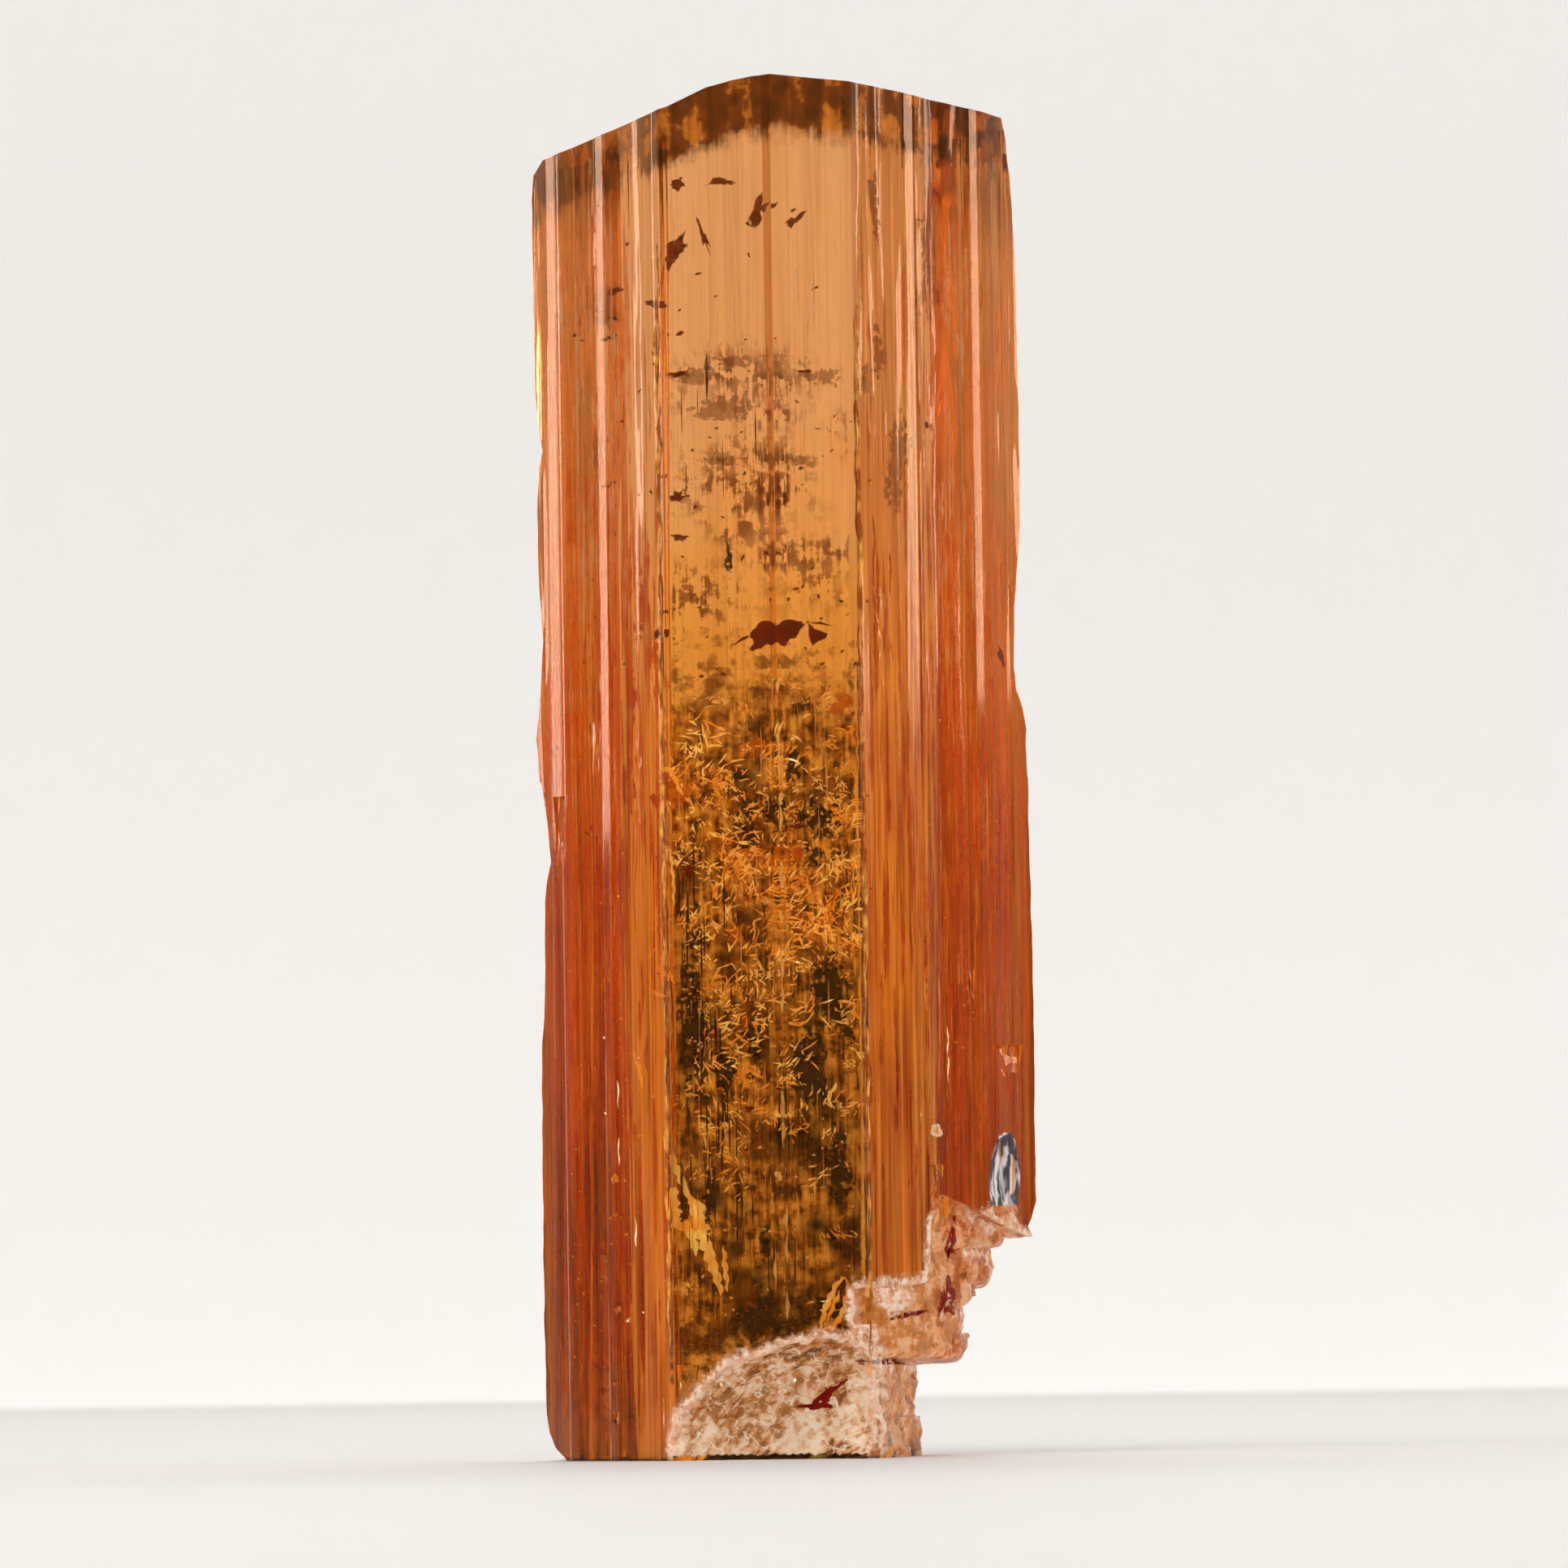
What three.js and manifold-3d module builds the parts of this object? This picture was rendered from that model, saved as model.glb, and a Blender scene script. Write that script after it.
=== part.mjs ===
// A topaz crystal: one striated prism with a low roof at its upper end and a broken, stepped lower end.
// Units are millimetres. +Z is the long axis of the prism, -Y its front and +X its right side.
// The origin is the middle of the flat cleavage face that it stands on.

import * as THREE from 'three';
import { mergeVertices } from 'three/addons/utils/BufferGeometryUtils.js';
import Module from 'manifold-3d';

const wasm = await Module();
wasm.setup();

// Driving sizes
const height = 42;
const halfWidth = 7.65;
const frontY = -6.65;
const backY = 6.65;
const frontEdgeX = -0.15;

// Slopes of the prism faces in plan, in degrees from the plane that faces the front
const mSlope = 27.84;
const lSlope = 46.6;

// Striations: ridges that run along the prism
const ridgeSpacing = 0.72;
const ridgeDepth = 0.09;
const ridgeDrift = 0.22;
const lengthSteps = 14;

// The roof falls towards the back by this many degrees
const roofFall = 5;

// Cutting bodies reach this far past the crystal
const overshoot = 3;
const mergeDistance = 1e-4;
const matchDistance = 1e-3;
const degrees = THREE.MathUtils.degToRad;

// ---- prism outline in plan -------------------------------------------------------------------

// Corners from one starting corner, face by face: each face ends at toX and climbs in y at its slope
function followFaces(startX, startY, direction, faces) {
  const corners = [new THREE.Vector2(startX, startY)];
  for (const { toX, slope } of faces) {
    const last = corners[corners.length - 1];
    const climb = Math.abs(toX - last.x) * Math.tan(degrees(slope));
    corners.push(new THREE.Vector2(toX, last.y + direction * climb));
  }
  return corners;
}

const frontRight = followFaces(frontEdgeX, frontY, 1, [
  { toX: 2.3, slope: mSlope },
  { toX: 6.3, slope: lSlope },
  { toX: halfWidth, slope: 52 },
]);
const frontLeft = followFaces(frontEdgeX, frontY, 1, [
  { toX: -3.6, slope: mSlope },
  { toX: -6.75, slope: lSlope },
  { toX: -halfWidth, slope: 56 },
]);
const backRight = followFaces(0.6, backY, -1, [
  { toX: 3.4, slope: mSlope },
  { toX: halfWidth, slope: lSlope - 0.6 },
]);
const backLeft = followFaces(-1.3, backY, -1, [
  { toX: -3.9, slope: mSlope },
  { toX: -7.2, slope: lSlope },
  { toX: -halfWidth, slope: 65 },
]);

// Counter-clockwise from the front edge, seen from above
const prismCorners = [
  ...frontRight,
  ...backRight.slice().reverse(),
  ...backLeft,
  ...frontLeft.slice(1).reverse(),
];

// How far a ridge line lies under its face, from its number along the outline and its height.
// The sines only scatter the depths, so that no two neighbouring ridges are alike.
function ridgeOffset(index, z) {
  const pattern = 0.5 + 0.5 * Math.sin(index * 2.4 + Math.sin(index * 1.3) * 2);
  const alongLength = 0.75 + 0.25 * Math.sin(z * 0.21 + index * 1.9);
  return ridgeDepth * pattern * alongLength;
}

// The outline with its ridge lines, each with the direction that leads into the crystal
function stripeOutline(corners) {
  const lines = [];
  corners.forEach((corner, cornerIndex) => {
    const next = corners[(cornerIndex + 1) % corners.length];
    const face = next.clone().sub(corner);
    const inward = new THREE.Vector2(-face.y, face.x).normalize();
    const count = Math.max(1, Math.round(face.length() / ridgeSpacing));
    for (let step = 0; step < count; step += 1) {
      const uneven = step === 0 ? 0 : ridgeDrift * Math.sin(step * 3.7 + cornerIndex);
      const point = corner.clone().addScaledVector(face, (step + uneven) / count);
      lines.push({ point, inward, isCorner: step === 0 });
    }
  });
  return lines;
}

function prismGeometry() {
  const lines = stripeOutline(prismCorners);
  const shape = new THREE.Shape(lines.map(({ point }) => point));
  const depth = height + overshoot;
  const geometry = new THREE.ExtrudeGeometry(shape, { depth, steps: lengthSteps, bevelEnabled: false });
  const position = geometry.attributes.position;
  for (let vertex = 0; vertex < position.count; vertex += 1) {
    const x = position.getX(vertex);
    const y = position.getY(vertex);
    const z = position.getZ(vertex);
    const index = lines.findIndex(({ point }) => Math.hypot(point.x - x, point.y - y) < matchDistance);
    const line = lines[index];
    if (!line.isCorner) {
      const offset = ridgeOffset(index, z);
      position.setXY(vertex, x + line.inward.x * offset, y + line.inward.y * offset);
    }
  }
  return geometry;
}

// ---- outline seen from the front -------------------------------------------------------------

// Left and right edges from the bottom up as [x, z]: worn, with shallow dents
const leftEdge = [
  [-6.95, -overshoot], [-6.95, 0.05], [-7.32, 0.42], [-7.5, 0.87], [-7.59, 1.75], [-7.62, 4.8], [-7.6, 9.9],
  [-7.59, 12.8], [-7.5, 13.6], [-7.45, 14.9], [-7.43, 17.2], [-7.36, 17.8], [-7.21, 18.4], [-7.28, 19.3],
  [-7.4, 20.2], [-7.55, 21.2], [-7.62, 22.5], [-7.48, 24.1], [-7.39, 25.5], [-7.42, 26.5], [-7.5, 27.7],
  [-7.5, 30.1], [-7.44, 31], [-7.33, 31.5], [-7.42, 32.2], [-7.53, 33.3], [-7.56, 39.4], [-7.5, 40.2],
];
const rightEdge = [
  [8.5, -overshoot], [8.5, 5], [7.34, 7], [7.46, 7.25], [7.6, 7.8], [7.62, 13.6], [7.6, 16.7], [7.56, 18.7],
  [7.55, 21.2], [7.5, 22.2], [7.53, 22.7], [7.41, 23.4], [7.24, 23.9], [7.15, 24.6], [7.21, 26.5],
  [7.32, 27.9], [7.42, 29.1], [7.43, 30.6], [7.41, 34.7], [7.38, 37], [7.32, 39], [7.26, 40], [7.12, 41.4],
];
// The roof from right to left
const roof = [
  [7.02, 41.85], [3.6, 42], [-0.7, 42], [-1.3, 41.96], [-2.1, 41.82], [-3.3, 41.38], [-4.8, 41.05],
  [-6.5, 40.68], [-7.2, 40.58],
];

function frontOutlineGeometry() {
  const outline = [...rightEdge, ...roof, ...leftEdge.slice().reverse()];
  const shape = new THREE.Shape(outline.map(([x, z]) => new THREE.Vector2(x, z)));
  const depth = backY - frontY + 2 * overshoot;
  const geometry = new THREE.ExtrudeGeometry(shape, { depth, steps: 1, bevelEnabled: false });
  geometry.rotateX(Math.PI / 2);
  geometry.translate(0, backY + overshoot, 0);
  const position = geometry.attributes.position;
  for (let vertex = 0; vertex < position.count; vertex += 1) {
    const z = position.getZ(vertex);
    if (z > height / 2) {
      const fall = (position.getY(vertex) - frontY) * Math.tan(degrees(roofFall)) * (z / height);
      position.setZ(vertex, z - fall);
    }
  }
  return geometry;
}

// ---- the broken corner at the lower right ----------------------------------------------------

// Each break is bounded above by a ledge and on its left by a riser, given as points in plan from
// the front to the back. The ledge has its height at anchor and tilts along x and y.
const breaks = [
  { top: 7.1, bottom: 5.4, anchor: [6.6, -0.8], tilt: [-0.32, -0.16],
    riser: [[4.1, -7], [4.3, -2.7], [5.3, -1.3], [6.45, 0.4], [6.6, 1.6], [6.55, 7]] },
  { top: 6.35, bottom: 4.4, anchor: [6.1, 0], tilt: [-0.06, 0.06],
    riser: [[4.15, -7], [4.3, -2.7], [4.85, -1.5], [6.05, 0.3], [6.18, 1.8], [6.05, 7]] },
  { top: 5.25, bottom: 4.05, anchor: [5.6, 0], tilt: [0.1, -0.05],
    riser: [[1.8, -7], [1.95, -5.15], [3.3, -4.35], [3.75, -3.3], [5.4, -0.6], [5.62, 1.6], [5.4, 7]] },
  { top: 4.55, bottom: 3.75, anchor: [5, 0], tilt: [0.03, 0.05],
    riser: [[2.3, -7], [2.45, -5.1], [3.6, -3.7], [5.05, -0.9], [5.2, 1.4], [4.9, 7]] },
  { top: 4.1, bottom: 2.4, anchor: [5.2, 0], tilt: [-0.05, 0.02],
    riser: [[2.4, -7], [2.5, -4.9], [3.8, -3.4], [5.2, -0.5], [5.38, 1.1], [5.1, 7]] },
  { top: 2.95, bottom: 1.2, anchor: [4.4, 0], tilt: [0.04, -0.03],
    riser: [[2.5, -7], [2.65, -4.6], [3.15, -2.2], [3.68, 0.2], [3.72, 2.6], [3.4, 7]] },
  { top: 1.75, bottom: -overshoot, anchor: [3.8, 0], tilt: [0.08, 0.05],
    riser: [[2.6, -7], [2.75, -4.5], [3.35, -2], [3.8, 0.4], [3.86, 2.2], [3.3, 7]] },
];
const farRight = 12;
const thinnestStep = 0.1;

function breakGeometry({ top, bottom, anchor, tilt, riser }) {
  const outline = [...riser, [farRight, 7], [farRight, -7]];
  const shape = new THREE.Shape(outline.map(([x, y]) => new THREE.Vector2(x, y)));
  const geometry = new THREE.ExtrudeGeometry(shape, { depth: top - bottom, steps: 1, bevelEnabled: false });
  geometry.translate(0, 0, bottom);
  const position = geometry.attributes.position;
  const middle = (top + bottom) / 2;
  for (let vertex = 0; vertex < position.count; vertex += 1) {
    if (position.getZ(vertex) > middle) {
      const alongX = (position.getX(vertex) - anchor[0]) * tilt[0];
      const alongY = (position.getY(vertex) - anchor[1]) * tilt[1];
      position.setZ(vertex, Math.max(top + alongX + alongY, middle + thinnestStep));
    }
  }
  return geometry;
}

// ---- hollows and chips -----------------------------------------------------------------------

// Shell-shaped hollows: ellipsoids with their middle, radii and a turn about the y axis
const hollows = [
  // the large fracture at the foot of the front faces
  { middle: [-0.5, -7.3, 0.75], radii: [3.95, 3.3, 2.55], turn: -20, detail: [32, 22] },
  // a second bite in its upper right
  { middle: [1.35, -6.9, 2.3], radii: [1.7, 2.3, 1.55], turn: -24, detail: [20, 14] },
  // the long hollow beside the right edge
  { middle: [7.05, -1.25, 8.75], radii: [0.48, 0.95, 1.4], turn: 3, detail: [14, 10] },
  // a small chip on the right face
  { middle: [4.85, -3.05, 9.9], radii: [0.55, 0.6, 0.42], turn: 10, detail: [12, 8] },
  // a worn shoulder at the upper left
  { middle: [-8.6, 0.3, 41.3], radii: [1.5, 2.4, 1.3], turn: 35, detail: [16, 12] },
];

function hollowGeometry({ middle, radii, turn, detail }) {
  const geometry = new THREE.SphereGeometry(1, detail[0], detail[1]);
  geometry.scale(...radii);
  geometry.rotateY(degrees(turn));
  geometry.translate(...middle);
  return geometry;
}

// Where the front of the prism lies in y, for any x
function frontSurface(x) {
  const chain = x < frontEdgeX ? frontLeft : frontRight;
  let index = 1;
  while (index < chain.length - 1 && Math.abs(chain[index].x) < Math.abs(x)) {
    index += 1;
  }
  const start = chain[index - 1];
  const end = chain[index];
  const part = (x - start.x) / (end.x - start.x);
  return start.y + (end.y - start.y) * part;
}

// Chips with a ledge: deepest under the ledge and running out to nothing. Facing is the direction that
// the face looks in, in degrees from the front towards the right; a ledge is at its top or its foot.
const chips = [
  { x: 6.85, top: 12.6, width: 1.5, tall: 1.3, depth: 0.26, facing: 50, ledge: 'top' },
  { x: 5.7, top: 14.9, width: 0.4, tall: 2.2, depth: 0.16, facing: 46.6, ledge: 'top' },
  { x: 4.6, top: 8.9, width: 0.7, tall: 1.1, depth: 0.2, facing: 46.6, ledge: 'top' },
  { x: 3.0, top: 26.5, width: 0.5, tall: 9, depth: 0.12, facing: 46.6, ledge: 'foot' },
  { x: -5.85, top: 22.6, width: 0.5, tall: 4.4, depth: 0.2, facing: -46.6, ledge: 'top' },
  { x: -5.6, top: 16.2, width: 0.45, tall: 1.6, depth: 0.22, facing: -46.6, ledge: 'foot' },
  { x: -6.9, top: 20.4, width: 0.8, tall: 2.6, depth: 0.18, facing: -56, ledge: 'top' },
  { x: -4.5, top: 24.6, width: 0.55, tall: 5.2, depth: 0.14, facing: -46.6, ledge: 'foot' },
  { x: -5.5, top: 0.9, width: 1.7, tall: 2.6, depth: 0.22, facing: -46.6, ledge: 'top' },
  { x: -3.2, top: 2.9, width: 0.7, tall: 1.6, depth: 0.25, facing: -35, ledge: 'top' },
];
const chipThickness = 1.6;
const chipTaper = 0.35;
const chipFade = 1.15;

function chipGeometry({ x, top, width, tall, depth, facing, ledge }) {
  const geometry = new THREE.BoxGeometry(width, chipThickness, tall);
  const position = geometry.attributes.position;
  for (let vertex = 0; vertex < position.count; vertex += 1) {
    const isLedge = position.getZ(vertex) > 0 === (ledge === 'top');
    if (!isLedge) {
      position.setX(vertex, position.getX(vertex) * chipTaper);
    }
  }
  const slope = Math.atan2(depth * chipFade, tall);
  geometry.translate(0, -chipThickness / 2, -tall / 2);
  if (ledge === 'foot') {
    geometry.translate(0, 0, tall);
    geometry.rotateX(slope);
    geometry.translate(0, 0, -tall);
  } else {
    geometry.rotateX(-slope);
  }
  geometry.translate(0, depth, 0);
  geometry.rotateZ(degrees(facing));
  geometry.translate(x, frontSurface(x), top);
  return geometry;
}

// ---- joining and cutting ---------------------------------------------------------------------

function toSolid(geometry) {
  const bare = geometry.clone();
  bare.deleteAttribute('normal');
  bare.deleteAttribute('uv');
  const merged = mergeVertices(bare, mergeDistance);
  const mesh = new wasm.Mesh({
    numProp: 3,
    vertProperties: new Float32Array(merged.attributes.position.array),
    triVerts: new Uint32Array(merged.index.array),
  });
  return new wasm.Manifold(mesh);
}

function toGeometry(solid) {
  const mesh = solid.getMesh();
  const geometry = new THREE.BufferGeometry();
  geometry.setAttribute('position', new THREE.BufferAttribute(mesh.vertProperties, 3));
  geometry.setIndex(new THREE.BufferAttribute(mesh.triVerts, 1));
  geometry.computeVertexNormals();
  return geometry;
}

function crystalGeometry() {
  let solid = toSolid(prismGeometry()).intersect(toSolid(frontOutlineGeometry()));
  for (const item of breaks) {
    solid = solid.subtract(toSolid(breakGeometry(item)));
  }
  for (const item of hollows) {
    solid = solid.subtract(toSolid(hollowGeometry(item)));
  }
  for (const item of chips) {
    solid = solid.subtract(toSolid(chipGeometry(item)));
  }
  return toGeometry(solid);
}

const crystal = new THREE.Mesh(
  crystalGeometry(),
  new THREE.MeshStandardMaterial({ color: 0xd98238, roughness: 0.12, metalness: 0 }),
);
crystal.name = 'crystal';

const topaz = new THREE.Group();
topaz.add(crystal);

export default topaz;
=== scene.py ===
import math

import bmesh
import bpy
import numpy as np
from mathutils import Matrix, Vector, bvhtree, kdtree, noise


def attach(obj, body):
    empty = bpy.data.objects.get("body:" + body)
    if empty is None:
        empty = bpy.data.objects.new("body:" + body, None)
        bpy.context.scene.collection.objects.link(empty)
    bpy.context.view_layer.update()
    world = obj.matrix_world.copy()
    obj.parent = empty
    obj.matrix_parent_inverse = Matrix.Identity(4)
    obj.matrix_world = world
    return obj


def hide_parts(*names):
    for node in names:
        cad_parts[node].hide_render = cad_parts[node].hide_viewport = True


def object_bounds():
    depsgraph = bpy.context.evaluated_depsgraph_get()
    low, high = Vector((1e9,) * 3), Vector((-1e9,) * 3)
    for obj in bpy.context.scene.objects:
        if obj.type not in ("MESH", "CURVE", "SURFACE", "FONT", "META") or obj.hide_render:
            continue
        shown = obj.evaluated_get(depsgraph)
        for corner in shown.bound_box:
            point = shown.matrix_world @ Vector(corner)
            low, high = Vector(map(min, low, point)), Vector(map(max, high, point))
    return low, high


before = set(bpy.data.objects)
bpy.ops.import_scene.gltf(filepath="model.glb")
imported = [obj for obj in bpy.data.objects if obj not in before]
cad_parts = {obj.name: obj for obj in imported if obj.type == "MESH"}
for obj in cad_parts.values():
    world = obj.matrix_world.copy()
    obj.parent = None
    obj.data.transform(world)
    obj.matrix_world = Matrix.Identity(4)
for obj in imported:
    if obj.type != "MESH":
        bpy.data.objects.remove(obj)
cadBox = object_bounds()
scene = bpy.context.scene
mm = 0.001


def makeObject(name, points, faces, material=None, values=None):
    # points in millimetres, faces as lists of point numbers, values as lists with one number to a point
    mesh = bpy.data.meshes.new(name)
    mesh.from_pydata([(p[0] * mm, p[1] * mm, p[2] * mm) for p in points], [], faces)
    build = bmesh.new()
    build.from_mesh(mesh)
    bmesh.ops.recalc_face_normals(build, faces=build.faces)
    build.to_mesh(mesh)
    build.free()
    mesh.update()
    for label, numbers in (values or {}).items():
        mesh.attributes.new(label, "FLOAT", "POINT").data.foreach_set("value", numbers)
    obj = bpy.data.objects.new(name, mesh)
    scene.collection.objects.link(obj)
    if material:
        mesh.materials.append(material)
    return obj


def shadeSmooth(mesh):
    mesh.polygons.foreach_set("use_smooth", [True] * len(mesh.polygons))


def tubeFaces(rings, count):
    # quads between rings of points, with a flat face at each end
    faces = []
    for r in range(rings - 1):
        for c in range(count):
            n = (c + 1) % count
            faces.append((r * count + c, r * count + n, (r + 1) * count + n, (r + 1) * count + c))
    return faces + [tuple(range(count - 1, -1, -1)), tuple(range((rings - 1) * count, rings * count))]


def blockLattice(countA, countB, countC, place):
    # a closed block from the outer points of a lattice
    numbers, points, faces = {}, [], []

    def quad(keys, flip):
        for key in keys:
            if key not in numbers:
                numbers[key] = len(points)
                points.append(place(*key))
        ring = [numbers[key] for key in keys]
        faces.append(ring if flip else ring[::-1])

    for a in range(countA - 1):
        for b in range(countB - 1):
            for c, flip in ((0, False), (countC - 1, True)):
                quad([(a, b, c), (a + 1, b, c), (a + 1, b + 1, c), (a, b + 1, c)], flip)
        for c in range(countC - 1):
            for b, flip in ((0, True), (countB - 1, False)):
                quad([(a, b, c), (a + 1, b, c), (a + 1, b, c + 1), (a, b, c + 1)], flip)
    for b in range(countB - 1):
        for c in range(countC - 1):
            for a, flip in ((0, False), (countA - 1, True)):
                quad([(a, b, c), (a, b, c + 1), (a, b + 1, c + 1), (a, b + 1, c)], flip)
    return points, faces


def divide(points, spacing, closed=True):
    # adds points on the straight stretches so that none is longer than spacing
    out = []
    for start, end in zip(points, points[1:] + (points[:1] if closed else [])):
        count = max(1, round(math.dist(start, end) / spacing))
        for k in range(count):
            out.append(tuple(a + (b - a) * (k / count) for a, b in zip(start, end)))
    return out if closed else out + [points[-1]]


def hashNoise(i, j, seed):
    h = (i.astype(np.int64) * 374761 + j.astype(np.int64) * 668265 + seed * 97463) & 0x7FFFFFFF
    h = ((h ^ (h >> 13)) * 12741261) & 0x7FFFFFFF
    h = ((h ^ (h >> 11)) * 6132719) & 0x7FFFFFFF
    return ((h ^ (h >> 16)) & 0xFFFF) / 65535.0


def smoothNoise(x, y, seed):
    # soft noise from 0 to 1 over two numbers, for whole arrays
    i, j = np.floor(x), np.floor(y)
    fx, fy = x - i, y - j
    ux, uy = fx * fx * (3 - 2 * fx), fy * fy * (3 - 2 * fy)
    low = hashNoise(i, j, seed) * (1 - ux) + hashNoise(i + 1, j, seed) * ux
    high = hashNoise(i, j + 1, seed) * (1 - ux) + hashNoise(i + 1, j + 1, seed) * ux
    return low * (1 - uy) + high * uy


def terrace(value, steps, softness):
    # turns soft noise into flat treads with short risers
    scaled = value * steps
    whole = np.floor(scaled)
    part = np.clip((scaled - whole - (1 - softness)) / softness, 0, 1)
    return (whole + part) / steps


class nodeKit:
    # the nodes of one material or group, with short names for those used most
    def __init__(self, tree, material=None):
        self.tree = tree
        self.material = material
        self.shader = tree.nodes.get("Principled BSDF")

    def put(self, socket, value):
        if isinstance(value, bpy.types.NodeSocket):
            self.tree.links.new(value, socket)
        else:
            socket.default_value = value

    def fill(self, values):
        # a plain number or colour sets the shader's own socket, a node's output is linked to it
        for key, value in values.items():
            self.put(self.shader.inputs[key], value)

    def glow(self, colour, strength):
        self.fill({"Emission Color": colour, "Emission Strength": strength})
        self.material.cycles.emission_sampling = "NONE"

    def add(self, kind, inputs=None, **settings):
        node = self.tree.nodes.new("ShaderNode" + kind)
        for key, value in settings.items():
            setattr(node, key, value)
        for key, value in (inputs or {}).items():
            self.put(node.inputs[key], value)
        return node.outputs

    def math(self, operation, *values):
        return self.add("Math", dict(enumerate(values)), operation=operation)[0]

    def times(self, first, second):
        return self.math("MULTIPLY", first, second)

    def vector(self, operation, *values, out=0):
        return self.add("VectorMath", dict(enumerate(values)), operation=operation)[out]

    def split(self, vector):
        return self.add("SeparateXYZ", {0: vector})

    def millimetres(self):
        place = self.add("TexCoord")["Object"]
        return self.add("VectorMath", {0: place, "Scale": 1 / mm}, operation="SCALE")[0]

    def attribute(self, name):
        return self.add("Attribute", attribute_name=name)["Fac"]

    def mix(self, factor, first, second):
        return self.add("Mix", {"Factor": factor, 2: first, 3: second}, data_type="FLOAT")[0]

    def blend(self, factor, first, second, mode="MIX"):
        return self.add("Mix", {"Factor": factor, 6: first, 7: second}, data_type="RGBA", blend_type=mode)[2]

    def span(self, value, low, high, bottom=0.0, top=1.0):
        # rises smoothly from bottom to top while the value goes from low to high
        return self.add("MapRange", {"Value": value, "From Min": low, "From Max": high, "To Min": bottom,
                                     "To Max": top}, interpolation_type="SMOOTHSTEP")[0]

    def ramp(self, factor, stops):
        node = self.tree.nodes.new("ShaderNodeValToRGB")
        self.put(node.inputs["Fac"], factor)
        elements = node.color_ramp.elements
        while len(elements) < len(stops):
            elements.new(0.5)
        for element, (position, colour) in zip(elements, stops):
            element.position = position
            element.color = (*colour, 1)
        return node.outputs["Color"]

    def mottle(self, vector, scale, detail, low, high):
        inputs = {"Vector": vector, "Scale": scale, "Detail": detail, "Low": low, "High": high}
        return self.add("Group", inputs, node_tree=mottleGroup)["Value"]

    def streaks(self, vector, across, along, low=0.35, high=0.65):
        inputs = {"Vector": vector, "Across": across, "Along": along, "Low": low, "High": high}
        return self.add("Group", inputs, node_tree=streaksGroup)["Value"]


def newMaterial(name):
    material = bpy.data.materials.new(name)
    material.use_nodes = True
    return nodeKit(material.node_tree, material)


def makeGroup(name, inputs):
    # an empty shader group that takes a vector and named numbers, and gives one value
    tree = bpy.data.node_groups.new(name, "ShaderNodeTree")
    tree.interface.new_socket("Vector", in_out="INPUT", socket_type="NodeSocketVector")
    for label, value in inputs.items():
        socket = tree.interface.new_socket(label, in_out="INPUT", socket_type="NodeSocketFloat")
        socket.default_value = value
    tree.interface.new_socket("Value", in_out="OUTPUT", socket_type="NodeSocketFloat")
    given, result = tree.nodes.new("NodeGroupInput"), tree.nodes.new("NodeGroupOutput")
    return nodeKit(tree), given.outputs, result.inputs["Value"]


def buildMottle():
    # cloudy patches: a value from 0 to 1 between two levels
    kit, given, result = makeGroup("mottle", {"Scale": 1.0, "Detail": 4.0, "Low": 0.4, "High": 0.6})
    cloud = kit.add("TexNoise", {"Vector": given["Vector"], "Scale": given["Scale"],
                                 "Detail": given["Detail"], "Roughness": 0.6})["Fac"]
    kit.put(result, kit.span(cloud, given["Low"], given["High"]))
    return kit.tree


def buildStreaks():
    # lines that run along the crystal: how many to a millimetre across and along
    kit, given, result = makeGroup("lengthwiseStreaks",
                                   {"Across": 3.0, "Along": 0.1, "Low": 0.35, "High": 0.65})
    scale = kit.add("CombineXYZ", {"X": given["Across"], "Y": given["Across"], "Z": given["Along"]})[0]
    lines = kit.add("TexNoise", {"Vector": kit.vector("MULTIPLY", given["Vector"], scale), "Scale": 1.0,
                                 "Detail": 1.6, "Roughness": 0.65})["Fac"]
    level = kit.add("MapRange", {"Value": lines, "From Min": given["Low"], "From Max": given["High"]})[0]
    kit.put(result, level)
    return kit.tree


mottleGroup = buildMottle()
streaksGroup = buildStreaks()

view = {"lens": 253, "distance": 340.0, "azimuth": 0.0, "elevation": -2.9, "roll": 0.8,
        "target": (0.0, 0.0, 20.75)}


def lookFrom(azimuth, elevation):
    # the direction from the crystal towards a camera or lamp
    turn, lift = math.radians(azimuth), math.radians(elevation)
    return Vector((math.sin(turn) * math.cos(lift), -math.cos(turn) * math.cos(lift), math.sin(lift)))


def addToScene(name, data, place, away):
    # a camera or lamp that looks back along a direction
    obj = bpy.data.objects.new(name, data)
    scene.collection.objects.link(obj)
    obj.location = place
    obj.rotation_euler = (-away).to_track_quat("-Z", "Y").to_euler()
    return obj


def buildCamera():
    data = bpy.data.cameras.new("camera")
    data.lens = view["lens"]
    data.sensor_width = 36
    data.clip_start = 0.001
    data.clip_end = 10
    away = lookFrom(view["azimuth"], view["elevation"])
    place = Vector(view["target"]) * mm + away * view["distance"] * mm
    scene.camera = addToScene("camera", data, place, away)
    scene.camera.rotation_euler.rotate_axis("Z", math.radians(-view["roll"]))


stageSet = {"floorRadius": 420.0, "bend": 160.0, "wallTop": 620.0, "around": 96, "bendSteps": 12,
            "colour": (0.82, 0.80, 0.77, 1), "backGlow": 0.30, "sideGlow": 0.28, "frontGlow": 0.28}


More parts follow.
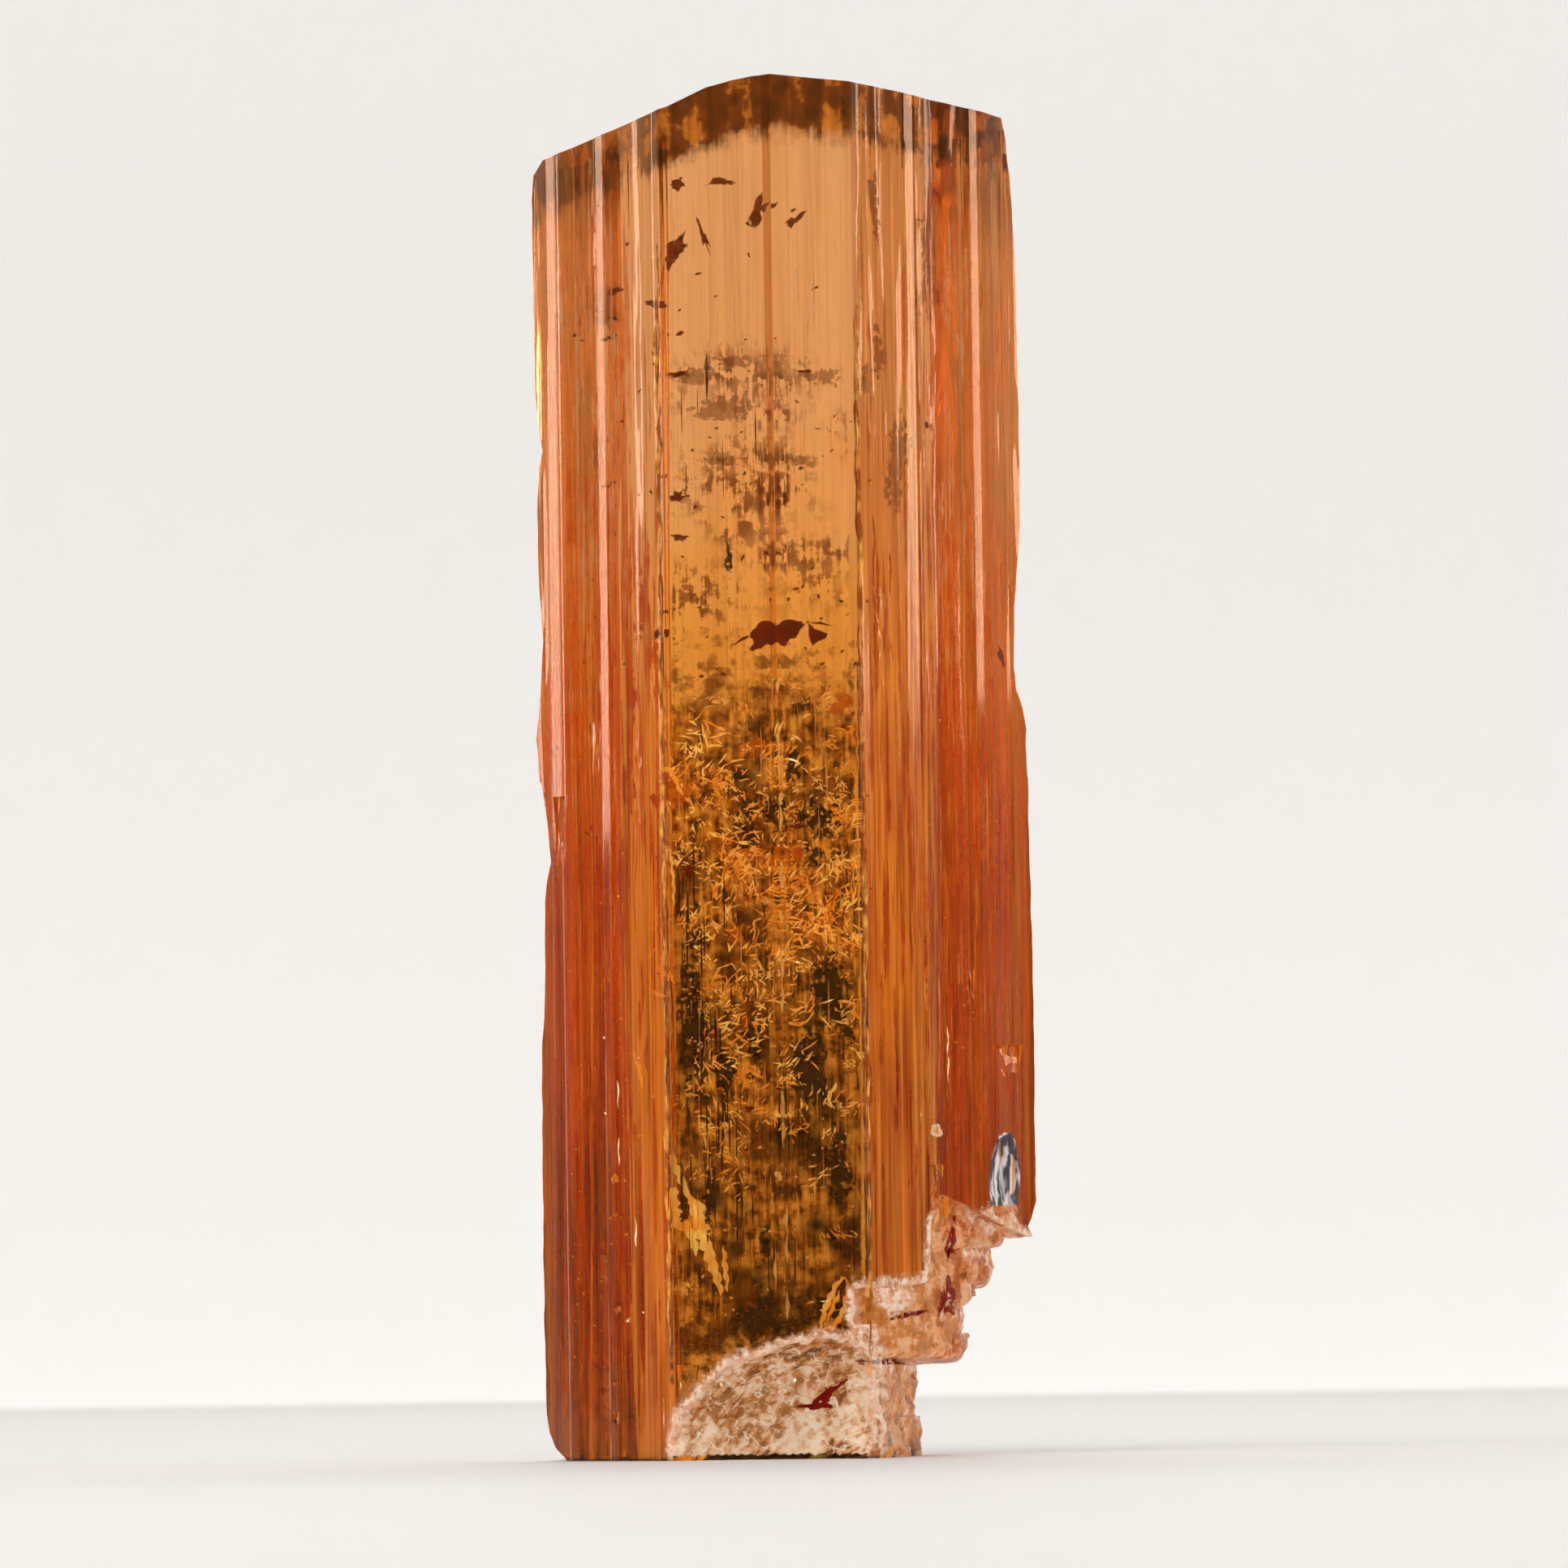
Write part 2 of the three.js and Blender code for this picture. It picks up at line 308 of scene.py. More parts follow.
def stageMaterial():
    # pale matt paper; its curved wall glows softly, most at the back and least beside the camera
    kit = newMaterial("palePaper")
    x, y, z = kit.split(kit.add("TexCoord")["Object"])
    level = kit.add("CombineXYZ", {"X": x, "Y": y})[0]
    toBack = kit.split(kit.vector("NORMALIZE", level))["Y"]
    back = kit.span(toBack, 0.35, 0.8, top=stageSet["backGlow"])
    side = kit.times(kit.span(toBack, -0.1, 0.3, top=stageSet["sideGlow"]), kit.span(z, 0.03, 0.13))
    front = kit.span(toBack, -0.8, -0.93, top=stageSet["frontGlow"])
    glow = kit.math("MAXIMUM", kit.math("MAXIMUM", back, side), front)
    glow = kit.times(glow, kit.span(kit.vector("LENGTH", level, out="Value"), 0.30, 0.43))
    kit.glow(kit.add("CombineColor", {"Red": glow, "Green": glow, "Blue": glow})[0], 1.0)
    kit.fill({"Base Color": stageSet["colour"], "Roughness": 0.6})
    return kit.material


def buildStage():
    profile = [(60.0, 0.0), (200.0, 0.0)]
    outer, bend, around = stageSet["floorRadius"], stageSet["bend"], stageSet["around"]
    for step in range(stageSet["bendSteps"] + 1):
        turn = math.radians(step * 90 / stageSet["bendSteps"])
        profile.append((outer + bend * math.sin(turn), bend * (1 - math.cos(turn))))
    profile.append((outer + bend, stageSet["wallTop"]))
    points = [(0, 0, 0)]
    for radius, z in profile:
        for k in range(around):
            turn = 2 * math.pi * k / around
            points.append((radius * math.cos(turn), radius * math.sin(turn), z))
    faces = [(0, 1 + k, 1 + (k + 1) % around) for k in range(around)]
    for start in range(1, 1 + (len(profile) - 1) * around, around):
        for k in range(around):
            n = (k + 1) % around
            faces.append((start + k, start + around + k, start + around + n, start + n))
    floor = makeObject("floor", points, faces, stageMaterial())
    shadeSmooth(floor.data)


# strips stand upright beside the crystal, soft boxes hang above it and face it
coolWhite = (1.0, 0.96, 1.10)
lights = {
    "leftStrip": {"azimuth": -104, "distance": 330, "bottom": 34, "size": (30, 270), "glow": 5.6,
                  "colour": coolWhite},
    "rightStrip": {"azimuth": 99, "distance": 330, "bottom": 42, "size": (28, 270), "glow": 5.6,
                   "colour": coolWhite},
    "frontBox": {"azimuth": -28, "distance": 360, "elevation": 52, "size": (260, 200), "glow": 3.2},
    "backBox": {"azimuth": 176, "distance": 420, "elevation": 48, "size": (320, 160), "glow": 3.0},
}
studio = {"centre": (0, 0, 21), "glow": 0.34, "colour": (1.0, 0.975, 0.94, 1)}


def buildLights():
    for name, item in lights.items():
        data = bpy.data.lights.new(name, "AREA")
        data.shape = "RECTANGLE"
        data.size, data.size_y = (side * mm for side in item["size"])
        data.color = item.get("colour", (1, 1, 1))
        data.energy = item["glow"] * math.pi * data.size * data.size_y
        away = lookFrom(item["azimuth"], item.get("elevation", 0))
        place = Vector(studio["centre"]) + away * item["distance"]
        if "bottom" in item:
            place.z = item["bottom"] + item["size"][1] / 2
        addToScene(name, data, place * mm, away).visible_camera = False
    world = bpy.data.worlds.new("studio")
    scene.world = world
    world.use_nodes = True
    background = world.node_tree.nodes["Background"]
    background.inputs["Color"].default_value = studio["colour"]
    background.inputs["Strength"].default_value = studio["glow"]


renderSet = {"use_denoising": True, "use_adaptive_sampling": True, "adaptive_threshold": 0.2,
             "adaptive_min_samples": 12, "max_bounces": 9, "transmission_bounces": 9, "glossy_bounces": 5,
             "diffuse_bounces": 3, "transparent_max_bounces": 16}

buildCamera()
buildStage()
buildLights()
scene.view_settings.view_transform = "Standard"
for key, value in renderSet.items():
    setattr(scene.cycles, key, value)
print("stage ready")


# the crystal, in millimetres, from the same driving sizes as the solid
prism = {"height": 42.0, "halfWidth": 7.65, "frontY": -6.65, "backY": 6.65, "frontEdgeX": -0.15,
         "mSlope": 27.84, "lSlope": 46.6, "ridgeSpacing": 0.72, "ridgeDepth": 0.09, "ridgeDrift": 0.22,
         "roofFall": 5.0, "overshoot": 3.0, "columnSpacing": 0.095, "rowSpacing": 0.36, "columnDrift": 0.3,
         # clear faces slope less than this; their growth lines are weaker at the front, and fade at the edges
         "edgeRound": 0.05, "clearSlope": 35, "clearStrength": 0.3, "edgeFade": 0.25, "sharpAngle": 9,
         "brokenSharpAngle": 38}
# corners worn round: x, at the front or not, how far the rounding reaches along each face
roundedCorners = [(-6.75, True, 0.6), (6.3, True, 0.55), (-7.2, False, 0.4)]


def followFaces(startX, startY, direction, faces):
    corners = [(startX, startY)]
    for toX, slope in faces:
        x, y = corners[-1]
        corners.append((toX, y + direction * abs(toX - x) * math.tan(math.radians(slope))))
    return corners


def prismCorners():
    half, m, l = prism["halfWidth"], prism["mSlope"], prism["lSlope"]
    frontRight = followFaces(prism["frontEdgeX"], prism["frontY"], 1, [(2.3, m), (6.3, l), (half, 52)])
    frontLeft = followFaces(prism["frontEdgeX"], prism["frontY"], 1, [(-3.6, m), (-6.75, l), (-half, 56)])
    backRight = followFaces(0.6, prism["backY"], -1, [(3.4, m), (half, l - 0.6)])
    backLeft = followFaces(-1.3, prism["backY"], -1, [(-3.9, m), (-7.2, l), (-half, 65)])
    return frontRight + backRight[::-1] + backLeft + frontLeft[:0:-1]


def cornerWear(corners, index):
    # how far the rounding of a corner reaches, and how far the outline turns there
    before, here, after = corners[index - 1], corners[index], corners[(index + 1) % len(corners)]
    found = [size for x, front, size in roundedCorners if abs(here[0] - x) < 0.05 and (here[1] < 0) == front]
    first = math.atan2(here[1] - before[1], here[0] - before[0])
    second = math.atan2(after[1] - here[1], after[0] - here[0])
    return max(found, default=0.0), abs(math.remainder(second - first, 2 * math.pi))


def coarseRidges(corners):
    # the solid's ridge lines: face number, place along the face, running number, corner or not
    lines = []
    for face, corner in enumerate(corners):
        length = math.dist(corner, corners[(face + 1) % len(corners)])
        count = max(1, round(length / prism["ridgeSpacing"]))
        for step in range(count):
            drift = 0 if step == 0 else prism["ridgeDrift"] * math.sin(step * 3.7 + face)
            lines.append((face, (step + drift) / count * length, len(lines), step == 0))
    return lines


def coarseOffset(index, z):
    pattern = 0.5 + 0.5 * math.sin(index * 2.4 + math.sin(index * 1.3) * 2)
    return prism["ridgeDepth"] * pattern * (0.75 + 0.25 * np.sin(z * 0.21 + index * 1.9))


# long smooth bands on the front side faces: from x, to x, how deep they start, how far they turn
growthBands = [(-5.28, -5.62, 0.02, 5.4), (-6.87, -7.20, 0.05, -4.0), (3.95, 4.25, 0.03, 2.9),
               (5.98, 6.32, 0.01, 2.9)]
# growth lines: depth, how many to a millimetre across and along, noise seed
growthLines = [(0.062, 0.9, 0.035, 11), (0.026, 2.6, 0.09, 12), (0.011, 7.0, 0.2, 13)]


def buildPrism():
    corners = prismCorners()
    rows = np.arange(0, prism["height"] + prism["overshoot"] + 0.01, prism["rowSpacing"])
    ridges = coarseRidges(corners)
    columns, walked = [], 0.0
    for face, corner in enumerate(corners):
        following = corners[(face + 1) % len(corners)]
        length = math.dist(corner, following)
        tangent = ((following[0] - corner[0]) / length, (following[1] - corner[1]) / length)
        inward = (-tangent[1], tangent[0])
        slope = abs(math.degrees(math.atan2(tangent[1], tangent[0])))
        slope = min(slope, 180 - slope)
        isFront = (corner[1] + following[1]) / 2 < 0
        clear = prism["clearStrength"] if slope < prism["clearSlope"] and isFront else 1.0
        soft = min(prism["edgeRound"], length / 4)
        count = max(2, round((length - 2 * soft) / prism["columnSpacing"]))
        places = [0.0] + [soft + (length - 2 * soft) * k / count for k in range(count + 1)]
        own = [line[1:] for line in ridges if line[0] == face] + [(length, -1, True)]
        wear = cornerWear(corners, face), cornerWear(corners, (face + 1) % len(corners))
        for place in places:
            s = place
            if soft < place < length * 0.98:
                s += prism["columnDrift"] * prism["columnSpacing"] * math.sin(place * 91.7)
            low = max(k for k in range(len(own) - 1) if own[k][0] <= s + 1e-9)
            part = (s - own[low][0]) / (own[low + 1][0] - own[low][0])
            sides = []
            for k in (low, low + 1):
                weaker = 0.35 if k in (1, len(own) - 2) else 1.0
                sides.append(0 if own[k][2] else coarseOffset(own[k][1], rows) * weaker)
            offset = sides[0] * (1 - part) + sides[1] * part + 0 * rows
            worn = 0.0
            for (reach, turning), away in zip(wear, (s, length - s)):
                if away < reach:
                    worn = max(worn, 1 - away / reach)
                    offset = offset + (reach - away) ** 2 / (2 * reach) * math.tan(turning / 2)
            if place == 0.0 and wear[0][0] == 0:
                offset = offset + 0.4 * prism["edgeRound"] * (1 - abs(math.cos(math.radians(slope))) * 0.5)
            u = np.full_like(rows, walked + s)
            strength = clear * (1 - 0.9 * min(1.0, worn * 1.8))
            ends = min(1, s / prism["edgeFade"], (length - s) / prism["edgeFade"])
            for depth, across, along, seed in growthLines:
                value = terrace(smoothNoise(u * across, rows * along + u * 0.013, seed), 5, 0.22)
                offset = offset + depth * strength * value * (0.1 + 0.9 * ends)
            for start, end, base, turn in growthBands if isFront else []:
                along = corner[0] + tangent[0] * s - start
                if 0 <= along / (end - start) <= 1:
                    reach = abs(along) / math.cos(math.radians(slope))
                    offset = base + reach * math.tan(math.radians(turn)) + 0 * rows
            columns.append([corner[k] + tangent[k] * s + inward[k] * offset for k in range(2)])
        walked += length
    points = [(x[r], y[r], rows[r]) for r in range(len(rows)) for x, y in columns]
    return makeObject("topaz_crystal", points, tubeFaces(len(rows), len(columns)), crystalMaterial)


leftEdge = [
    (-6.95, -3), (-6.95, 0.05), (-7.32, 0.42), (-7.5, 0.87), (-7.59, 1.75), (-7.62, 4.8), (-7.6, 9.9),
    (-7.59, 12.8), (-7.5, 13.6), (-7.45, 14.9), (-7.43, 17.2), (-7.36, 17.8), (-7.21, 18.4), (-7.28, 19.3),
    (-7.4, 20.2), (-7.55, 21.2), (-7.62, 22.5), (-7.48, 24.1), (-7.39, 25.5), (-7.42, 26.5), (-7.5, 27.7),
    (-7.5, 30.1), (-7.44, 31), (-7.33, 31.5), (-7.42, 32.2), (-7.53, 33.3), (-7.56, 39.4), (-7.5, 40.2),
]
rightEdge = [
    (8.5, -3), (8.5, 5), (7.34, 7), (7.46, 7.25), (7.6, 7.8), (7.62, 13.6), (7.6, 16.7), (7.56, 18.7),
    (7.55, 21.2), (7.5, 22.2), (7.53, 22.7), (7.41, 23.4), (7.24, 23.9), (7.15, 24.6), (7.21, 26.5),
    (7.32, 27.9), (7.42, 29.1), (7.43, 30.6), (7.41, 34.7), (7.38, 37), (7.32, 39), (7.26, 40), (7.12, 41.4),
]
roof = [
    (7.02, 41.85), (3.6, 42), (-0.7, 42), (-1.3, 41.96), (-2.1, 41.82), (-3.3, 41.38), (-4.8, 41.05),
    (-6.5, 40.68), (-7.2, 40.58),
]
edgeWear = {"spacing": 0.3, "depthRows": 44, "relief": 0.035, "grain": 2.1, "from": 6.8, "foot": 0.3,
            "roofFrom": 21}


def buildFrontOutline():
    # the outline seen from the front, drawn from front to back and lowered to the back at its roof
    outline = divide(rightEdge + roof + leftEdge[::-1], edgeWear["spacing"])
    depths = np.linspace(prism["frontY"] - prism["overshoot"], prism["backY"] + prism["overshoot"],
                         edgeWear["depthRows"])
    fall, grain = math.tan(math.radians(prism["roofFall"])), edgeWear["grain"]
    points = []
    for y in depths:
        for x, z in outline:
            inset, lowered = 0.0, z
            if abs(x) > edgeWear["from"] and z > edgeWear["foot"]:
                bump = noise.noise(Vector((x * grain, y * grain, z * grain * 0.7)))
                inset = edgeWear["relief"] * (0.5 + bump)
            if z > edgeWear["roofFrom"]:
                lowered = z - (y - prism["frontY"]) * fall * (z / prism["height"])
            points.append((x - math.copysign(inset, x), y, lowered))
    return makeObject("frontOutline", points, tubeFaces(len(depths), len(outline)))


breaks = [
    # each step: top, bottom, the middle and tilt of its ledge, its riser from front to back
    (7.1, 5.4, (6.6, -0.8), (-0.32, -0.16),
     [(4.1, -7), (4.3, -2.7), (5.3, -1.3), (6.45, 0.4), (6.6, 1.6), (6.55, 7)]),
    (6.35, 4.4, (6.1, 0), (-0.06, 0.06),
     [(4.15, -7), (4.3, -2.7), (4.85, -1.5), (6.05, 0.3), (6.18, 1.8), (6.05, 7)]),
    (5.25, 4.05, (5.6, 0), (0.1, -0.05),
     [(1.8, -7), (1.95, -5.15), (3.3, -4.35), (3.75, -3.3), (5.4, -0.6), (5.62, 1.6), (5.4, 7)]),
    (4.55, 3.75, (5, 0), (0.03, 0.05),
     [(2.3, -7), (2.45, -5.1), (3.6, -3.7), (5.05, -0.9), (5.2, 1.4), (4.9, 7)]),
    (4.1, 2.4, (5.2, 0), (-0.05, 0.02),
     [(2.4, -7), (2.5, -4.9), (3.8, -3.4), (5.2, -0.5), (5.38, 1.1), (5.1, 7)]),
    (2.95, 1.2, (4.4, 0), (0.04, -0.03),
     [(2.5, -7), (2.65, -4.6), (3.15, -2.2), (3.68, 0.2), (3.72, 2.6), (3.4, 7)]),
    (1.75, -3, (3.8, 0), (0.08, 0.05),
     [(2.6, -7), (2.75, -4.5), (3.35, -2), (3.8, 0.4), (3.86, 2.2), (3.3, 7)]),
]
breakFinish = {"spacing": 0.16, "farRight": 12.0, "riserRelief": 0.2, "ledgeRelief": 0.045, "across": 52,
               "stepRound": 0.42, "outerEdge": 7.55}


def riserAt(number, y):
    return float(np.interp(y, *zip(*((deep, x) for x, deep in breaks[number][4]))))


def buildBreak(number, top, bottom, middle, tilt, riser):
    # a block with an uneven riser on its left and a nearly level ledge on top
    path = divide(riser, breakFinish["spacing"], closed=False)
    levels = max(4, round((top - bottom) / breakFinish["spacing"]))
    widths = breakFinish["across"]

    def place(a, v, w):
        x0, y = path[a]
        x = x0 + (breakFinish["farRight"] - x0) * (w / widths) ** 1.6
        ledge = top + (x - middle[0]) * tilt[0] + (y - middle[1]) * tilt[1]
        ledge = max(ledge, (top + bottom) / 2 + 0.1)
        z = bottom + (ledge - bottom) * v / levels
        seed = Vector((x * 1.1, y * 1.1, z * 1.4 + number * 7.3))
        rough = noise.fractal(seed, 0.7, 2.1, 4)
        fine = noise.noise(seed * 5.1)
        if w == 0:
            x += breakFinish["riserRelief"] * (rough + 0.25 * fine)
        if v == levels:
            # the step above ends in a rounded lip
            z += breakFinish["ledgeRelief"] * (rough + 0.5 * fine)
            size = breakFinish["stepRound"] * (0.8 + 0.5 * noise.noise(Vector((y * 0.9, number * 3.3, 0))))
            above = riserAt(number - 1, y) if number else breakFinish["outerEdge"]
            beyond = min(max(x - above + size, 0), size)
            z += size - math.sqrt(size * size - beyond * beyond)
        return x, y, z

    return makeObject("break" + str(number), *blockLattice(len(path), levels + 1, widths + 1, place))


hollows = [
    # middle, radii, turn, ripple, roughness
    ((-0.75, -7.05, 0.75), (4.35, 3.2, 2.55), -20, 0.03, 0.10),
    ((1.35, -6.9, 2.3), (1.7, 2.3, 1.55), -24, 0.02, 0.08),
    ((6.82, -1.0, 8.55), (0.72, 1.05, 1.55), 4, 0.02, 0.14),
    ((4.75, -3.15, 9.9), (0.42, 0.5, 0.30), 10, 0.01, 0.25),
    ((-8.6, 0.3, 41.3), (1.5, 2.4, 1.3), 35, 0.0, 0.02),
]
wornHollows = 4  # the first ones are frosted, the last one stays glassy


def buildHollow(number, middle, radii, turn, ripple, roughness):
    bpy.ops.mesh.primitive_ico_sphere_add(subdivisions=6 if number == 0 else 5, radius=1)
    obj = bpy.context.object
    obj.name = "hollow" + str(number)
    cosT, sinT = math.cos(math.radians(turn)), math.sin(math.radians(turn))
    origin = Vector((0.75, 0.35, -0.2)).normalized()
    for vertex in obj.data.vertices:
        p = vertex.co.copy()
        wave = ripple * math.sin(p.angle(origin) * 9.0 * 2.2 + 1.5 * noise.noise(p * 2.0))
        p *= 1 + (wave + roughness * noise.fractal(p * 2.6, 0.8, 2.1, 5)) / 1.6
        x, y, z = (p[k] * radii[k] for k in range(3))
        turned = (x * cosT + z * sinT + middle[0], y + middle[1], -x * sinT + z * cosT + middle[2])
        vertex.co = Vector(turned) * mm
    return obj


def frontFace(x):
    # how deep the front face lies at x, and which way it looks, as a turn for facing()
    corners = prismCorners()
    chain = corners[:4] if x > prism["frontEdgeX"] else [corners[0]] + corners[:-4:-1]
    for start, end in zip(chain, chain[1:]):
        if min(start[0], end[0]) < x <= max(start[0], end[0]):
            left, right = sorted((start, end))
            turn = math.degrees(math.atan2(right[1] - left[1], right[0] - left[0]))
            return start[1] + (end[1] - start[1]) * ((x - start[0]) / (end[0] - start[0])), turn
    return chain[-1][1], 0.0


chips = [
    # x, top, width, height, depth, facing, ledge
    (6.85, 12.6, 1.5, 1.3, 0.26, 50, "top"), (5.7, 14.9, 0.4, 2.2, 0.16, 46.6, "top"),
    (4.6, 8.9, 0.7, 1.1, 0.2, 46.6, "top"), (3.0, 26.5, 0.5, 9, 0.08, 46.6, "top"),
    (-5.85, 22.6, 0.5, 4.4, 0.2, -46.6, "top"), (-5.6, 16.2, 0.45, 1.6, 0.22, -46.6, "foot"),
    (-6.9, 20.4, 0.8, 2.6, 0.18, -56, "top"), (-4.5, 24.6, 0.55, 5.2, 0.14, -46.6, "foot"),
    (-5.3, 1.5, 0.9, 0.9, 0.08, -46.6, "top"), (-3.2, 2.9, 0.7, 1.6, 0.25, -35, "top"),
]
chipFinish = {"thickness": 1.6, "taper": 0.35, "fade": 1.15, "relief": 0.03, "across": 10, "deep": 4,
              "spacing": 0.16}


def buildChip(number, chipX, top, width, tall, depth, turn, ledge):
    across, deep, up = chipFinish["across"], chipFinish["deep"], max(8, round(tall / chipFinish["spacing"]))
    slope = math.atan2(depth * chipFinish["fade"], tall)
    cosT, sinT = math.cos(math.radians(turn)), math.sin(math.radians(turn))
    surface = frontFace(chipX)[0]

    def place(a, b, c):
        # a across the chip, b up from its foot, c from its inner face outwards
        rise = b / (up - 1)
        toLedge = rise if ledge == "top" else 1 - rise
        x = (a / (across - 1) - 0.5) * (width * (chipFinish["taper"] + (1 - chipFinish["taper"]) * toLedge))
        y = -chipFinish["thickness"] * c / (deep - 1)
        z = tall * (rise - 1)
        seed = Vector((x * 3 + number * 5.1, y * 3, z * 1.2))
        y += chipFinish["relief"] * noise.noise(seed * 2.2) * (c == 0)
        x += chipFinish["relief"] * noise.noise(seed * 1.7)
        y -= (1 - toLedge) * math.tan(slope) * tall
        y += depth
        return x * cosT - y * sinT + chipX, x * sinT + y * cosT + surface, z + top

    return makeObject("chip" + str(number), *blockLattice(across, up, deep, place))


topaz = {"ior": 1.62, "absorbColour": (0.985, 0.68, 0.14, 1), "absorbDensity": 110.0,
         "reflection": (0.80, 0.42, 0.08, 1),
         # the clear middle, and where the paler outer edges and the deeper right side begin and end, in x;
         # high up, the outer edges' paleness is partly painted sheen
         "window": (-3.6, 2.3), "outerRight": (4.5, 5.0), "outerLeft": (-6.1, -6.4), "besideEnd": (5.4, 4.2),
         "windowRoughness": 0.02, "sideRoughness": (0.04, 0.12), "edgeRoughness": 0.04, "edgeStart": 6.2,
         "fractureRoughness": 0.15, "roofRoughness": (0.10, 0.42),
         # tints from foot to top: their paling towards the top is painted sheen of the soft lamps on the
         # upper half, laid over the stone's own orange, which shows deep low down
         "windowTints": [(0.0, (0.62, 0.28, 0.05)), (0.40, (0.72, 0.34, 0.06)), (0.52, (0.84, 0.42, 0.10)),
                         (0.62, (0.93, 0.52, 0.16)), (0.75, (0.95, 0.60, 0.40)), (1.0, (0.95, 0.62, 0.46))],
         "sideTints": [(0.0, (0.56, 0.080, 0.002)), (0.34, (0.60, 0.085, 0.002)), (0.48, (0.74, 0.17, 0.015)),
                       (0.60, (0.74, 0.30, 0.09)), (0.75, (0.74, 0.39, 0.22)), (1.0, (0.74, 0.40, 0.25))],
         "edgeTints": [(0.0, (0.60, 0.085, 0.001)), (0.34, (0.62, 0.09, 0.001)), (0.48, (0.92, 0.24, 0.004)),
                       (0.60, (0.97, 0.48, 0.14)), (0.75, (0.97, 0.56, 0.32)), (1.0, (0.97, 0.57, 0.36))],
         "besideTints": [(0.28, (0.52, 0.33, 0.2)), (0.45, (0.76, 0.52, 0.2)), (0.62, (0.68, 0.42, 0.20))],
         # painted shade under the roof, from near black to orange
         "roofShade": [(0.15, (0.010, 0.0016, 0.0003)), (0.5, (0.05, 0.006, 0.0005)),
                      (0.9, (0.60, 0.16, 0.01))],
         "broadLines": [(0.0, (0.46, 0.30, 0.20)), (0.40, (0.97, 0.92, 0.86)), (1.0, (1, 1, 1))],
         "fineLines": [(0.0, (0.26, 0.14, 0.07)), (0.34, (0.97, 0.93, 0.89)), (1.0, (1, 1, 1))],
         "fractureTint": (0.98, 0.58, 0.28, 1), "rimDepth": (2.40, 1.80), "glowing": (1.0, 0.30, 0.01, 1),
         "paleLine": (0.96, 0.44, 0.10, 1)}


